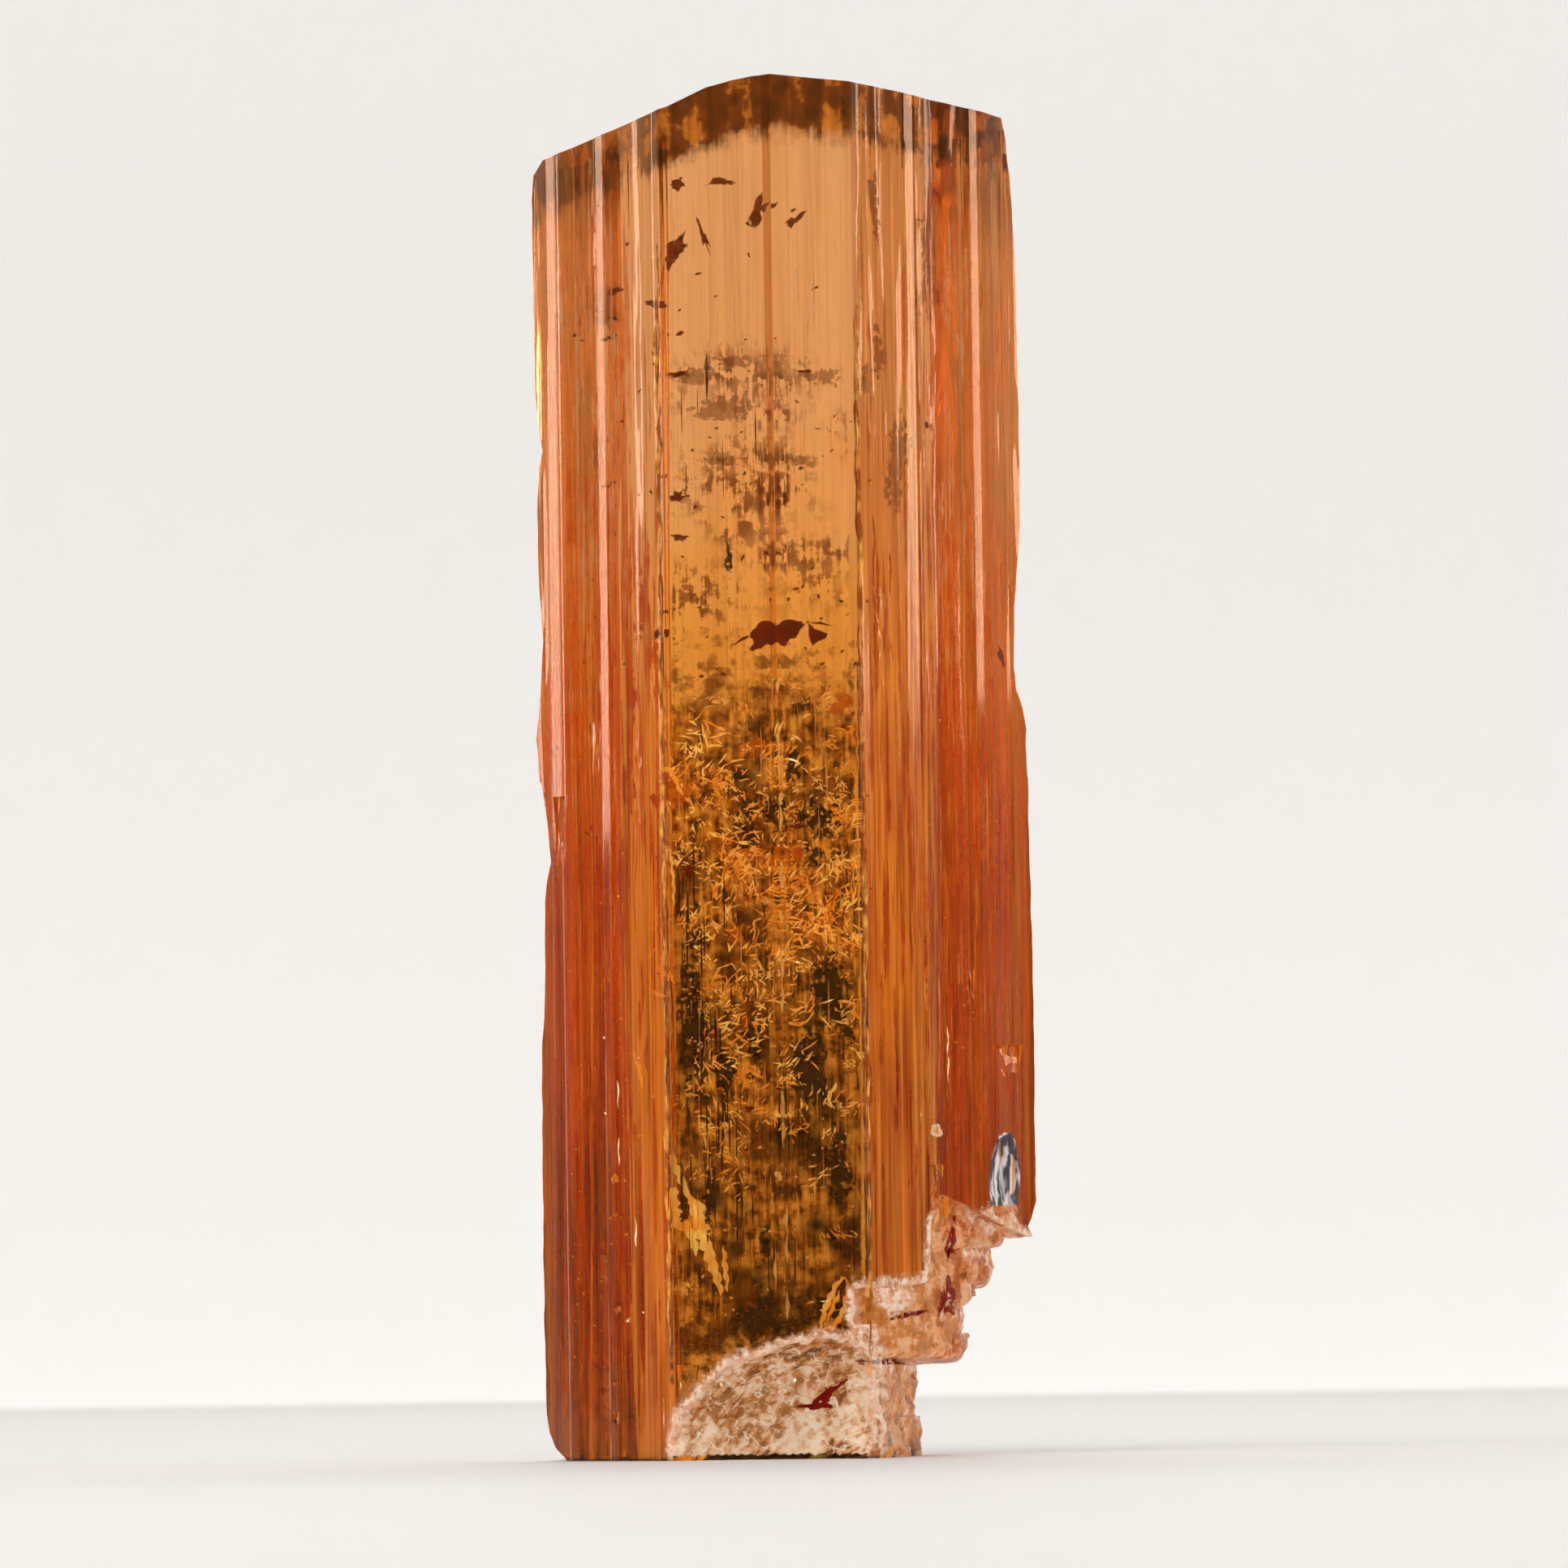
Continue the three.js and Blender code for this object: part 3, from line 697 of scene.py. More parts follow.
def buildCrystalMaterial():
    kit = newMaterial("clearTopaz")
    place = kit.millimetres()
    across, deep, upward = kit.split(place)
    wobble = kit.add("TexNoise", {"Vector": place, "Scale": 0.35, "Detail": 1.0})["Fac"]
    # painted sheen: the tints below pale towards the top with height alone
    height = kit.math("SUBTRACT", kit.math("DIVIDE", upward, prism["height"]), 0.10)
    height = kit.math("MULTIPLY_ADD", wobble, 0.20, height)
    left, right = topaz["window"]
    window = kit.times(kit.span(across, left - 0.03, left + 0.03),
                       kit.span(across, right + 0.03, right - 0.03))
    tint = kit.blend(window, kit.ramp(height, topaz["sideTints"]), kit.ramp(height, topaz["windowTints"]))
    outer = kit.math("MAXIMUM", kit.span(across, *topaz["outerRight"]), kit.span(across, *topaz["outerLeft"]))
    tint = kit.blend(outer, tint, kit.ramp(height, topaz["edgeTints"]))
    # the right side is deeper beside the clear middle
    beside = kit.times(kit.span(across, right, right + 0.06), kit.span(across, *topaz["besideEnd"]))
    tint = kit.blend(beside, tint, kit.ramp(height, topaz["besideTints"]), "MULTIPLY")
    # orange patches along the lower sides
    patches = kit.times(kit.streaks(place, 0.7, 0.16, 0.40, 0.58), kit.span(height, 0.72, 0.5, top=0.5))
    tint = kit.blend(kit.times(patches, kit.mix(window, 1.0, 0.0)), tint, topaz["glowing"])
    # the lines are strongest low down on the sides and faint in the clear middle
    broad, fine = kit.streaks(place, 1.6, 0.05), kit.streaks(place, 7.5, 0.14)
    bright = kit.times(kit.span(fine, 0.55, 0.95), kit.mix(window, 0.55, 0.1))
    body = kit.blend(bright, tint, topaz["paleLine"])
    lined = kit.times(kit.span(height, 0.62, 0.45, 0.35, 0.85), kit.mix(window, 1.0, 0.65))
    body = kit.blend(lined, body, kit.ramp(broad, topaz["broadLines"]), "MULTIPLY")
    body = kit.blend(lined, body, kit.ramp(fine, topaz["fineLines"]), "MULTIPLY")
    # painted shade: the front is darkened in a band just under the roof
    cloud = kit.mottle(place, 1.1, 4.0, 0.36, 0.64)
    rim = kit.math("MULTIPLY_ADD", kit.mix(0.6, fine, cloud), kit.mix(window, 0.9, 0.5), kit.attribute("rim"))
    upright = kit.split(kit.add("NewGeometry")["Normal"])["Z"]
    roofShaded = kit.times(kit.span(rim, *topaz["rimDepth"]), kit.span(upright, 0.8, 0.5))
    roofShaded = kit.times(roofShaded, kit.span(deep, 0.5, -0.5))
    roofShaded = kit.times(roofShaded, kit.span(across, -4.6, -3.4, 0.82, 1.0))
    body = kit.blend(roofShaded, body, kit.ramp(kit.mix(0.5, broad, cloud), topaz["roofShade"]))
    fracture = kit.attribute("fracture")
    side = kit.span(broad, 0.3, 0.9, *topaz["sideRoughness"])
    edge = kit.span(kit.math("ABSOLUTE", across), topaz["edgeStart"], topaz["edgeStart"] + 0.1)
    smooth = kit.mix(window, kit.mix(edge, side, topaz["edgeRoughness"]), topaz["windowRoughness"])
    # the roof is lightly etched in patches
    etched = kit.span(kit.mottle(place, 1.5, 6.0, 0.40, 0.62), 0.0, 1.0, *topaz["roofRoughness"])
    smooth = kit.mix(kit.span(upright, 0.8, 0.9), smooth, etched)
    kit.fill({"Base Color": kit.blend(fracture, body, topaz["fractureTint"]),
              "Roughness": kit.mix(fracture, smooth, topaz["fractureRoughness"]), "Transmission Weight": 1.0,
              "IOR": topaz["ior"], "Specular Tint": topaz["reflection"]})
    absorb = kit.add("VolumeAbsorption", {"Color": topaz["absorbColour"], "Density": topaz["absorbDensity"]})
    kit.put(kit.tree.nodes["Material Output"].inputs["Volume"], absorb["Volume"])
    return kit.material


crystalMaterial = buildCrystalMaterial()


def carve(body, cutters, operation):
    for cutter in cutters:
        modifier = body.modifiers.new("carve", "BOOLEAN")
        modifier.object = cutter
        modifier.operation = operation
        modifier.solver = "MANIFOLD"


def softenBroken(mesh):
    # the broken surfaces are shaded smoothly up to a steeper angle than the faces
    build = bmesh.new()
    build.from_mesh(mesh)
    broken = build.faces.layers.float["fracture"]
    for edge in build.edges:
        if len(edge.link_faces) == 2 and min(face[broken] for face in edge.link_faces) > 0.5:
            edge.smooth = edge.calc_face_angle() < math.radians(prism["brokenSharpAngle"])
    build.to_mesh(mesh)
    build.free()


def buildCrystal():
    body = buildPrism()
    outlineCutter = buildFrontOutline()
    kinds = ((buildBreak, breaks), (buildHollow, hollows), (buildChip, chips))
    cutters = [build(k, *item) for build, items in kinds for k, item in enumerate(items)]
    marks = [bpy.data.materials.new(name) for name in ("fractureMark", "chipMark")]
    for material in marks:
        body.data.materials.append(material)
    for k, cutter in enumerate(cutters):
        for material in [crystalMaterial] + marks:
            cutter.data.materials.append(material)
        mark = 1 if k < len(breaks) + wornHollows else 2
        cutter.data.polygons.foreach_set("material_index", [mark] * len(cutter.data.polygons))
    carve(body, [outlineCutter], "INTERSECT")
    carve(body, cutters, "DIFFERENCE")
    mesh = bpy.data.meshes.new_from_object(body.evaluated_get(bpy.context.evaluated_depsgraph_get()))
    body.modifiers.clear()
    body.data = mesh
    for cutter in cutters + [outlineCutter]:
        bpy.data.objects.remove(cutter)
    found = np.zeros(len(mesh.polygons), dtype=np.int32)
    mesh.polygons.foreach_get("material_index", found)
    broken = np.array([0.0, 1.0, 0.15], dtype=np.float32)[found]  # faces, breaks, chips
    print("crystal faces", len(mesh.polygons), "of which broken", int((broken > 0).sum()))
    mesh.materials.clear()
    mesh.materials.append(crystalMaterial)
    for material in marks:
        bpy.data.materials.remove(material)
    mesh.attributes.new("fracture", "FLOAT", "FACE").data.foreach_set("value", broken)
    places = np.zeros(len(mesh.vertices) * 3, dtype=np.float32)
    mesh.vertices.foreach_get("co", places)
    places = places.reshape(-1, 3) / mm
    line = np.array(sorted(roof + [leftEdge[-1], rightEdge[-1]]))
    lowered = (places[:, 1] - prism["frontY"]) * math.tan(math.radians(prism["roofFall"]))
    rim = np.interp(places[:, 0], line[:, 0], line[:, 1]) - lowered - places[:, 2]
    mesh.attributes.new("rim", "FLOAT", "POINT").data.foreach_set("value", rim.astype(np.float32))
    mesh.polygons.foreach_set("material_index", np.zeros(len(mesh.polygons), dtype=np.int32))
    shadeSmooth(mesh)
    mesh.set_sharp_from_angle(angle=math.radians(prism["sharpAngle"]))
    softenBroken(mesh)
    return body


crystal = buildCrystal()
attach(crystal, "root")
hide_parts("crystal")
print("crystal ready")


frost = {"lip": [(0.0, (0.90, 0.46, 0.26)), (1.0, (1.0, 0.78, 0.62))],
         "flat": [(0.08, (0.42, 0.10, 0.012)), (0.45, (0.95, 0.36, 0.10)), (0.95, (1.0, 0.66, 0.38))],
         "hollow": [(0.20, (0.24, 0.09, 0.025)), (0.52, (0.76, 0.36, 0.15)), (0.90, (1.0, 0.80, 0.58))],
         # painted reflection: near-black to near-white streaks for the shiny hollow on the right
         "paintedReflection": [(0.3, (0.06, 0.06, 0.07)), (0.8, (1.0, 0.97, 0.96))],
         # how far around a point its neighbours count, and how far they must fall away to make a lip
         "lipReach": 0.30, "lipLow": 0.10, "lipHigh": 0.26, "lipSpread": 0.46, "lipTop": 13.0,
         "rimFoot": 0.3, "rimTop": 7.4,
         "flatCover": (0.34, 0.56), "hollowCover": (0.42, 0.92), "paintedReflectionCover": 0.9, "lipCover": 0.92,
         "arcCentre": (3.8, -5.2, -2.6), "arcLines": 7.0, "crack": (1.0, 0.90, 0.74, 1), "crackScale": 1.5,
         "crackWidth": 0.05, "hollowEdge": 2.85, "hollowTop": 3.3, "paintedReflectionLeft": 5.6, "paintedReflectionFoot": 7.6,
         "singleFoot": 9.3, "glow": 0.14, "outside": 0.008, "inside": 0.006}


def buildFrostMaterial():
    # crushed white on the lips, partly a painted highlight where their sharp edges catch the light; a warm
    # bloom on the broken flats; cream with arcs and cracks in the hollow; painted reflection streaks on the
    # shiny hollow at the right
    kit = newMaterial("frostedBreak")
    place = kit.millimetres()
    across, _, upward = kit.split(place)
    grain = kit.mottle(place, 4.5, 3.0, 0.38, 0.64)
    shards = kit.mottle(place, 1.4, 4.0, 0.42, 0.60)
    fine = kit.mottle(place, 3.6, 6.0, 0.34, 0.62)
    large = kit.mottle(place, 0.8, 2.0, 0.40, 0.60)
    # shell-like lines: noise that is fine away from one centre and long around it
    fromCentre = kit.vector("SUBTRACT", place, frost["arcCentre"])
    outward = kit.times(kit.vector("LENGTH", fromCentre, out="Value"), frost["arcLines"])
    shell = kit.vector("MULTIPLY_ADD", kit.vector("NORMALIZE", fromCentre), (4.0, 4.0, 4.0),
                       kit.add("CombineXYZ", {"X": outward})[0])
    mixed = kit.mix(0.22, kit.mix(0.5, large, fine), kit.mottle(shell, 1.0, 3.0, 0.30, 0.60))
    mixed = kit.math("ADD", mixed, kit.span(upward, 1.0, 0.2, top=0.10))
    # thin bent cracks
    bent = kit.add("TexNoise", {"Vector": place, "Scale": 0.9})["Color"]
    bent = kit.vector("MULTIPLY_ADD", bent, (1.6, 1.6, 1.6), place)
    cracks = kit.add("TexVoronoi", {"Vector": bent, "Scale": frost["crackScale"]},
                     feature="DISTANCE_TO_EDGE")["Distance"]
    cracks = kit.times(kit.span(cracks, frost["crackWidth"], 0.0), kit.span(fine, 0.1, 0.6))
    inHollow = kit.times(kit.span(across, frost["hollowEdge"] + 0.2, frost["hollowEdge"] - 0.2),
                         kit.span(upward, frost["hollowTop"] + 0.2, frost["hollowTop"]))
    # painted reflection: streaks of near black and near white on the shiny hollow at the right
    paintedReflection = kit.times(kit.span(upward, frost["paintedReflectionFoot"], frost["paintedReflectionFoot"] + 0.1),
                       kit.span(across, frost["paintedReflectionLeft"], frost["paintedReflectionLeft"] + 0.1))
    single = kit.math("GREATER_THAN", upward, frost["singleFoot"])
    lip = kit.attribute("lip")
    hollowColour = kit.blend(cracks, kit.ramp(mixed, frost["hollow"]), frost["crack"])
    colour = kit.blend(inHollow, kit.ramp(kit.mix(0.6, grain, shards), frost["flat"]), hollowColour)
    pale = kit.math("MAXIMUM", kit.span(lip, 0.2, 0.8), single)
    colour = kit.blend(pale, colour, kit.ramp(grain, frost["lip"]))
    colour = kit.blend(paintedReflection, colour, kit.ramp(kit.streaks(place, 4.5, 0.5), frost["paintedReflection"]))
    cover = kit.mix(inHollow, kit.span(shards, 0.0, 1.0, *frost["flatCover"]),
                    kit.span(mixed, 0.2, 0.6, *frost["hollowCover"]))
    cover = kit.mix(paintedReflection, kit.mix(single, cover, 0.8), frost["paintedReflectionCover"])
    cover = kit.times(cover, kit.attribute("broken"))
    # the lips' cover: crushed white, partly a painted highlight along the sharp broken edges
    crushedAndGlint = kit.math("MULTIPLY_ADD", kit.math("SUBTRACT", grain, 0.5), 0.3, lip)
    onLip = kit.times(kit.span(crushedAndGlint, 0.25, 0.9), frost["lipCover"])
    bump = kit.add("Bump", {"Strength": 0.5, "Distance": 0.00003, "Height": grain})["Normal"]
    kit.fill({"Base Color": colour, "Alpha": kit.math("MAXIMUM", cover, onLip), "Roughness": 0.4,
              "Normal": bump})
    # painted light: the skin glows faintly in its own colour, standing in for light coming through the broken
    # faces
    kit.glow(colour, frost["glow"])
    return kit.material


def pointTree(points, numbers):
    tree = kdtree.KDTree(len(numbers))
    for k in numbers:
        tree.insert(points[k], k)
    tree.balance()
    return tree


def lipValues(vertices, wanted, rims):
    # 1 along the rims and the sharp edges of the broken faces, less and less beside them
    points = [vertex.co.copy() for vertex in vertices]
    tree = pointTree(points, range(len(points)))
    reach, spread = frost["lipReach"] * mm, frost["lipSpread"] * mm
    sharp = {k: 1.0 for k in rims}
    for k in wanted:
        near = tree.find_range(points[k], reach)
        middle, normal = Vector(), Vector()
        for point, index, _ in near:
            middle += point
            normal += vertices[index].normal
        if k not in sharp and len(near) > 3 and normal.length > 0:
            fall = (points[k] - middle / len(near)).dot(normal.normalized()) / reach
            value = (fall - frost["lipLow"]) / (frost["lipHigh"] - frost["lipLow"])
            if value > 0.3 and points[k].z < frost["rimTop"] * mm:
                sharp[k] = min(value, 1.0)
    crest = pointTree(points, sharp)
    values = [0.0] * len(points)
    for k, point in enumerate(points):
        if point.z < frost["lipTop"] * mm:
            near = crest.find_range(point, spread)
            values[k] = max((sharp[index] * (1 - gap / spread) for _, index, gap in near), default=0.0)
    return values


def buildFrost():
    # a thin closed skin over the broken faces and a little past their sharp lips
    build = bmesh.new()
    build.from_mesh(crystal.data)
    build.normal_update()
    broken = build.faces.layers.float["fracture"]
    build.verts.ensure_lookup_table()
    build.verts.index_update()
    wanted = sorted({vertex.index for face in build.faces if face[broken] > 0.5 for vertex in face.verts})
    rims = [k for k in wanted if frost["rimFoot"] < build.verts[k].co.z / mm < frost["rimTop"]
            and min(face[broken] for face in build.verts[k].link_faces) < 0.5]
    lip = lipValues(build.verts, wanted, rims)
    chosen = [face for face in build.faces if max(vertex.co.z for vertex in face.verts) > 0.2 * mm
              and (face[broken] > 0.5 or max(lip[vertex.index] for vertex in face.verts) > 0.15)]
    used = sorted({vertex.index for face in chosen for vertex in face.verts})
    number = {index: k for k, index in enumerate(used)}
    count = len(used)
    flats = [0.0] * count
    faces, borders = [], {}
    for face in chosen:
        ring = [number[vertex.index] for vertex in face.verts]
        faces += [ring, [k + count for k in reversed(ring)]]
        for a, b in zip(ring, ring[1:] + ring[:1]):
            borders[(a, b)] = True
            flats[a] = max(flats[a], face[broken])
    faces += [[b, a, a + count, b + count] for a, b in borders if (b, a) not in borders]
    points = []
    for shift in (frost["outside"], -frost["inside"]):
        for index in used:
            point = build.verts[index].co / mm + build.verts[index].normal * shift
            points.append(tuple(min(max(point[k], cadBox[0][k] / mm + 0.002), cadBox[1][k] / mm - 0.002)
                                for k in range(3)))
    values = {"lip": [lip[index] for index in used] * 2, "broken": flats * 2}
    build.free()
    skin = makeObject("frosted_breaks", points, faces, buildFrostMaterial(), values)
    shadeSmooth(skin.data)
    return skin


frostedBreaks = buildFrost()
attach(frostedBreaks, "root")
print("frost ready")


# stains and flakes: colour, paler colour, patches to a millimetre, how soft and how finely feathered their
# borders are, how much they cover, roughness, how much they glow; the glow is painted light, standing in for
# the light that reaches them inside the crystal
flawFinish = {
    "rustFlake": ((0.26, 0.040, 0.012), (0.44, 0.11, 0.04), 2.5, 0.5, 3.4, 0.88, 0.45, 0.0),
    "redFlake": ((0.19, 0.003, 0.001), (0.27, 0.008, 0.002), 2.0, 0.1, 3.4, 1.0, 0.4, 0.10),
    "darkStain": ((0.030, 0.010, 0.003), (0.10, 0.035, 0.006), 2.0, 1.3, 5.0, 0.85, 0.6, 0.0),
    "orangeStain": ((0.80, 0.20, 0.01), (1.0, 0.46, 0.05), 2.4, 1.0, 3.4, 0.75, 0.5, 0.12),
    "brownCloud": ((0.27, 0.050, 0.010), (0.50, 0.12, 0.03), 3.0, 1.0, 4.5, 0.36, 0.6, 0.0),
    "goldenCrack": ((0.95, 0.46, 0.07), (1.0, 0.86, 0.42), 1.1, 0.0, 3.4, 1.0, 0.3, 0.50),
    "goldenStrand": ((0.80, 0.38, 0.05), (1.0, 0.86, 0.46), 1.3, 0.6, 3.4, 0.95, 0.4, 0.50),
    "seam": ((0.40, 0.10, 0.008), (0.95, 0.46, 0.08), 1.6, 0.6, 3.4, 0.95, 0.5, 0.10),
    "paleWisp": ((0.98, 0.50, 0.22), (1.0, 0.80, 0.62), 1.2, 1.2, 3.4, 0.55, 0.5, 0.16),
    "orangeWisp": ((0.92, 0.24, 0.004), (1.0, 0.46, 0.05), 1.2, 1.2, 3.4, 0.6, 0.5, 0.12),
    "paleGrain": ((1.0, 0.70, 0.36), (1.0, 0.90, 0.66), 5.0, 0.0, 3.4, 1.0, 0.5, 0.25),
}


def buildFlawMaterial(name):
    deep, paler, scale, soft, feather, cover, roughness, glow = flawFinish[name]
    kit = newMaterial(name)
    place = kit.millimetres()
    colour = kit.ramp(kit.mottle(place, scale, 2.0, 0.38, 0.66), [(0.0, deep), (1.0, paler)])
    kit.fill({"Base Color": colour, "Roughness": roughness, "Specular IOR Level": 0.1})
    # painted light: the flaws glow faintly in their own colours
    if glow:
        kit.glow(colour, glow)
    if soft:
        feathered = kit.math("SUBTRACT", kit.mottle(place, feather, 3.0, 0.3, 0.7), 0.5)
        worn = kit.math("MULTIPLY_ADD", feathered, soft, kit.attribute("fade"))
        kit.fill({"Alpha": kit.span(worn, 0.02, 0.05 + 0.5 * soft, top=cover)})
    return kit.material


# healed cracks: colours, how far the clouds open, how much they cover, the gaps between them, glow, which is
# painted light
veilFinish = {
    "smoke": {"colours": ((0.050, 0.018, 0.004), (0.24, 0.105, 0.016), (0.66, 0.32, 0.05)),
              "clouds": (0.10, 0.34), "cover": 0.98, "gaps": None, "glow": 0.0},
    "amberVeil": {"colours": ((0.08, 0.025, 0.004), (0.58, 0.25, 0.03), (1.0, 0.66, 0.18)),
                  "clouds": (0.36, 0.60), "cover": 0.8, "gaps": None, "glow": 0.26},
    "haze": {"colours": ((0.32, 0.050, 0.010), (0.60, 0.15, 0.03), (1.0, 0.50, 0.16)),
             "clouds": (0.36, 0.70), "cover": 0.62, "gaps": 0.55, "glow": 0.0},
}


def buildVeilMaterial(name):
    finish = veilFinish[name]
    kit = newMaterial(name)
    place = kit.millimetres()
    level = kit.vector("MULTIPLY", place, (1.0, 1.0, 1.25))
    feathers = kit.mottle(level, 1.9, 5.0, 0.32, 0.68)
    shade = kit.mix(0.42, feathers, kit.streaks(place, 7.0, 0.8))
    colour = kit.ramp(shade, list(zip((0.18, 0.5, 0.82), finish["colours"])))
    ragged = kit.math("MULTIPLY_ADD", kit.math("SUBTRACT", feathers, 0.5), 0.7, kit.attribute("fade"))
    shown = kit.times(kit.mottle(level, 0.42, 2.0, *finish["clouds"]),
                      kit.span(ragged, 0.1, 0.8, top=finish["cover"]))
    if finish["gaps"]:
        shown = kit.times(shown, kit.span(shade, finish["gaps"], finish["gaps"] - 0.25))
    kit.fill({"Base Color": colour, "Alpha": shown, "Roughness": 0.6, "Specular IOR Level": 0.1})
    # painted light: the veil glows faintly in its own colour
    if finish["glow"]:
        kit.glow(colour, finish["glow"])
    return kit.material


def newStore():
    return {"points": [], "faces": [], "fade": []}


def addPoints(store, points, fades):
    start = len(store["points"])
    store["points"] += points
    store["fade"] += fades
    return start


def finishStore(name, store, finish):
    material = buildFlawMaterial(finish)
    return makeObject(name, store["points"], store["faces"], material, {"fade": store["fade"]})


def addPlate(store, outline, thickness, placePoint):
    # a thin closed plate with a middle ring; placePoint turns (across, up, out) into x, y, z
    count = len(outline)
    starts = []
    for out in (-thickness / 2, thickness / 2):
        points = [placePoint(0, 0, out)]
        points += [placePoint(u * 0.5, v * 0.5, out) for u, v in outline]
        points += [placePoint(u, v, out * 0.3) for u, v in outline]
        starts.append(addPoints(store, points, [1.0] + [0.55] * count + [0.0] * count))
    around = [(k, (k + 1) % count) for k in range(count)]
    for start in starts:
        middle, rim = start + 1, start + 1 + count
        for k, n in around:
            store["faces"] += [[start, middle + k, middle + n], [middle + k, rim + k, rim + n, middle + n]]
    back, front = (start + 1 + count for start in starts)
    store["faces"] += [[back + k, back + n, front + n, front + k] for k, n in around]


def addRibbon(store, path, width, thickness, wobble, seed):
    # a flat strand with pointed ends; path as x, y, z
    count = len(path)
    points = []
    for k, point in enumerate(path):
        along = Vector(path[min(k + 1, count - 1)]) - Vector(path[max(k - 1, 0)])
        side = along.cross(Vector((0, 1, 0.15))).normalized()
        out = side.cross(along).normalized()
        reach = 0.5 * width * (0.12 + math.sin(math.pi * (k / (count - 1))) ** 0.6)
        reach *= 1 + wobble * math.sin(seed + k * 2.1)
        for direction, size in ((side, reach), (out, thickness / 2), (-side, reach), (-out, thickness / 2)):
            points.append(tuple(Vector(point) + direction * size))
    start = addPoints(store, points, [1.0] * len(points))
    store["faces"] += [[start + k for k in face] for face in tubeFaces(count, 4)]


def facing(x, y, z, turn, tilt, spin=0.0):
    # a frame that looks towards the front, turned to the side, tilted up and spun in its own plane
    t, l, r = (math.radians(a) for a in (turn, tilt, spin))

    def place(u, v, out):
        a, b = u * math.cos(r) - v * math.sin(r), u * math.sin(r) + v * math.cos(r)
        deep, up = b * math.sin(l) - out * math.cos(l), b * math.cos(l) + out * math.sin(l)
        return x + a * math.cos(t) - deep * math.sin(t), y + a * math.sin(t) + deep * math.cos(t), z + up

    return place


def inside(x, depth):
    # the place that shows at x through the front face, moved towards the middle by the bent light
    depth = max(min(depth, 0.45), depth * min(1.0, 0.15 + abs(x - prism["frontEdgeX"]) * 0.8))
    bent = 0.196 if topaz["window"][0] < x < topaz["window"][1] else 0.363
    side = 1 if x > prism["frontEdgeX"] else -1
    return x - side * bent * depth, frontFace(x)[0] + depth


def alongFaces(x, z, depth):
    # a frame that bends around the front edge with the faces
    def place(u, v, out):
        return x + u, frontFace(x + u)[0] + depth + out, z + v

    return place


surfaceTree = bvhtree.BVHTree.FromPolygons([vertex.co.copy() for vertex in crystal.data.vertices],
                                           [tuple(face.vertices) for face in crystal.data.polygons])


def onSurface(x, z, spin):
    # a frame that lies on the front of the finished crystal
    cosT, sinT = math.cos(math.radians(spin)), math.sin(math.radians(spin))

    def place(u, v, out):
        placeX, placeZ = x + u * cosT - v * sinT, z + u * sinT + v * cosT
        hit = surfaceTree.ray_cast(Vector((placeX, -20, placeZ)) * mm, Vector((0, 1, 0)))[0]
        return placeX, (hit.y / mm if hit else -4.0) - flake["lift"] + out, placeZ

    return place


def raggedOutline(width, tall, jag, seed, count=22):
    outline = []
    for k in range(count):
        across, up = math.cos(2 * math.pi * k / count), math.sin(2 * math.pi * k / count)
        reach = 1 + jag * noise.noise(Vector((across * 1.7, up * 1.7, seed * 3.7)))
        reach += jag * 0.7 * noise.noise(Vector((across * 5.1, up * 5.1, seed * 1.9)))
        outline.append((0.5 * width * across * reach, 0.5 * tall * up * reach))
    return outline


flake = {"thickness": 0.03, "lift": 0.03, "depth": 0.9, "crumbs": 150, "crumbSeed": 5, "spacing": 0.12}
# x, z, width, height, spin in degrees, from the top down
rustFlakes = [
    (-1.74, 38.9, 0.95, 0.34, -8), (-0.54, 37.9, 0.42, 1.25, -28), (0.56, 37.6, 0.70, 0.28, 32),
    (-3.1, 36.9, 0.62, 0.95, -35), (-3.85, 35.3, 0.80, 0.20, -12), (-5.1, 35.8, 0.70, 0.22, 5),
    (-5.1, 35.0, 0.60, 0.18, -4), (-5.2, 34.4, 0.55, 0.22, 8), (-6.2, 34.6, 0.40, 0.12, 10),
    (-3.05, 33.1, 0.80, 0.22, -3), (-3.0, 34.3, 0.40, 0.16, 5), (0.85, 33.0, 0.55, 0.08, 2),
    (-5.25, 29.9, 0.90, 0.16, 14), (-3.1, 29.3, 0.50, 0.34, 10), (-3.1, 28.1, 0.72, 0.30, -6),
    (-5.2, 28.4, 0.40, 0.30, 20), (4.5, 31.6, 0.22, 0.26, 0), (-3.8, 25.2, 0.55, 0.26, 15),
    (-7.0, 21.9, 0.36, 0.34, 0), (-3.15, 18.3, 0.45, 0.45, 10),
    (1.0, 17.3, 1.20, 0.42, -24), (0.3, 19.1, 0.80, 0.20, 12), (1.7, 15.2, 0.5, 0.3, -30),
    (-3.0, 38.9, 0.40, 0.40, 0), (-2.2, 37.2, 0.20, 1.30, 25),
]
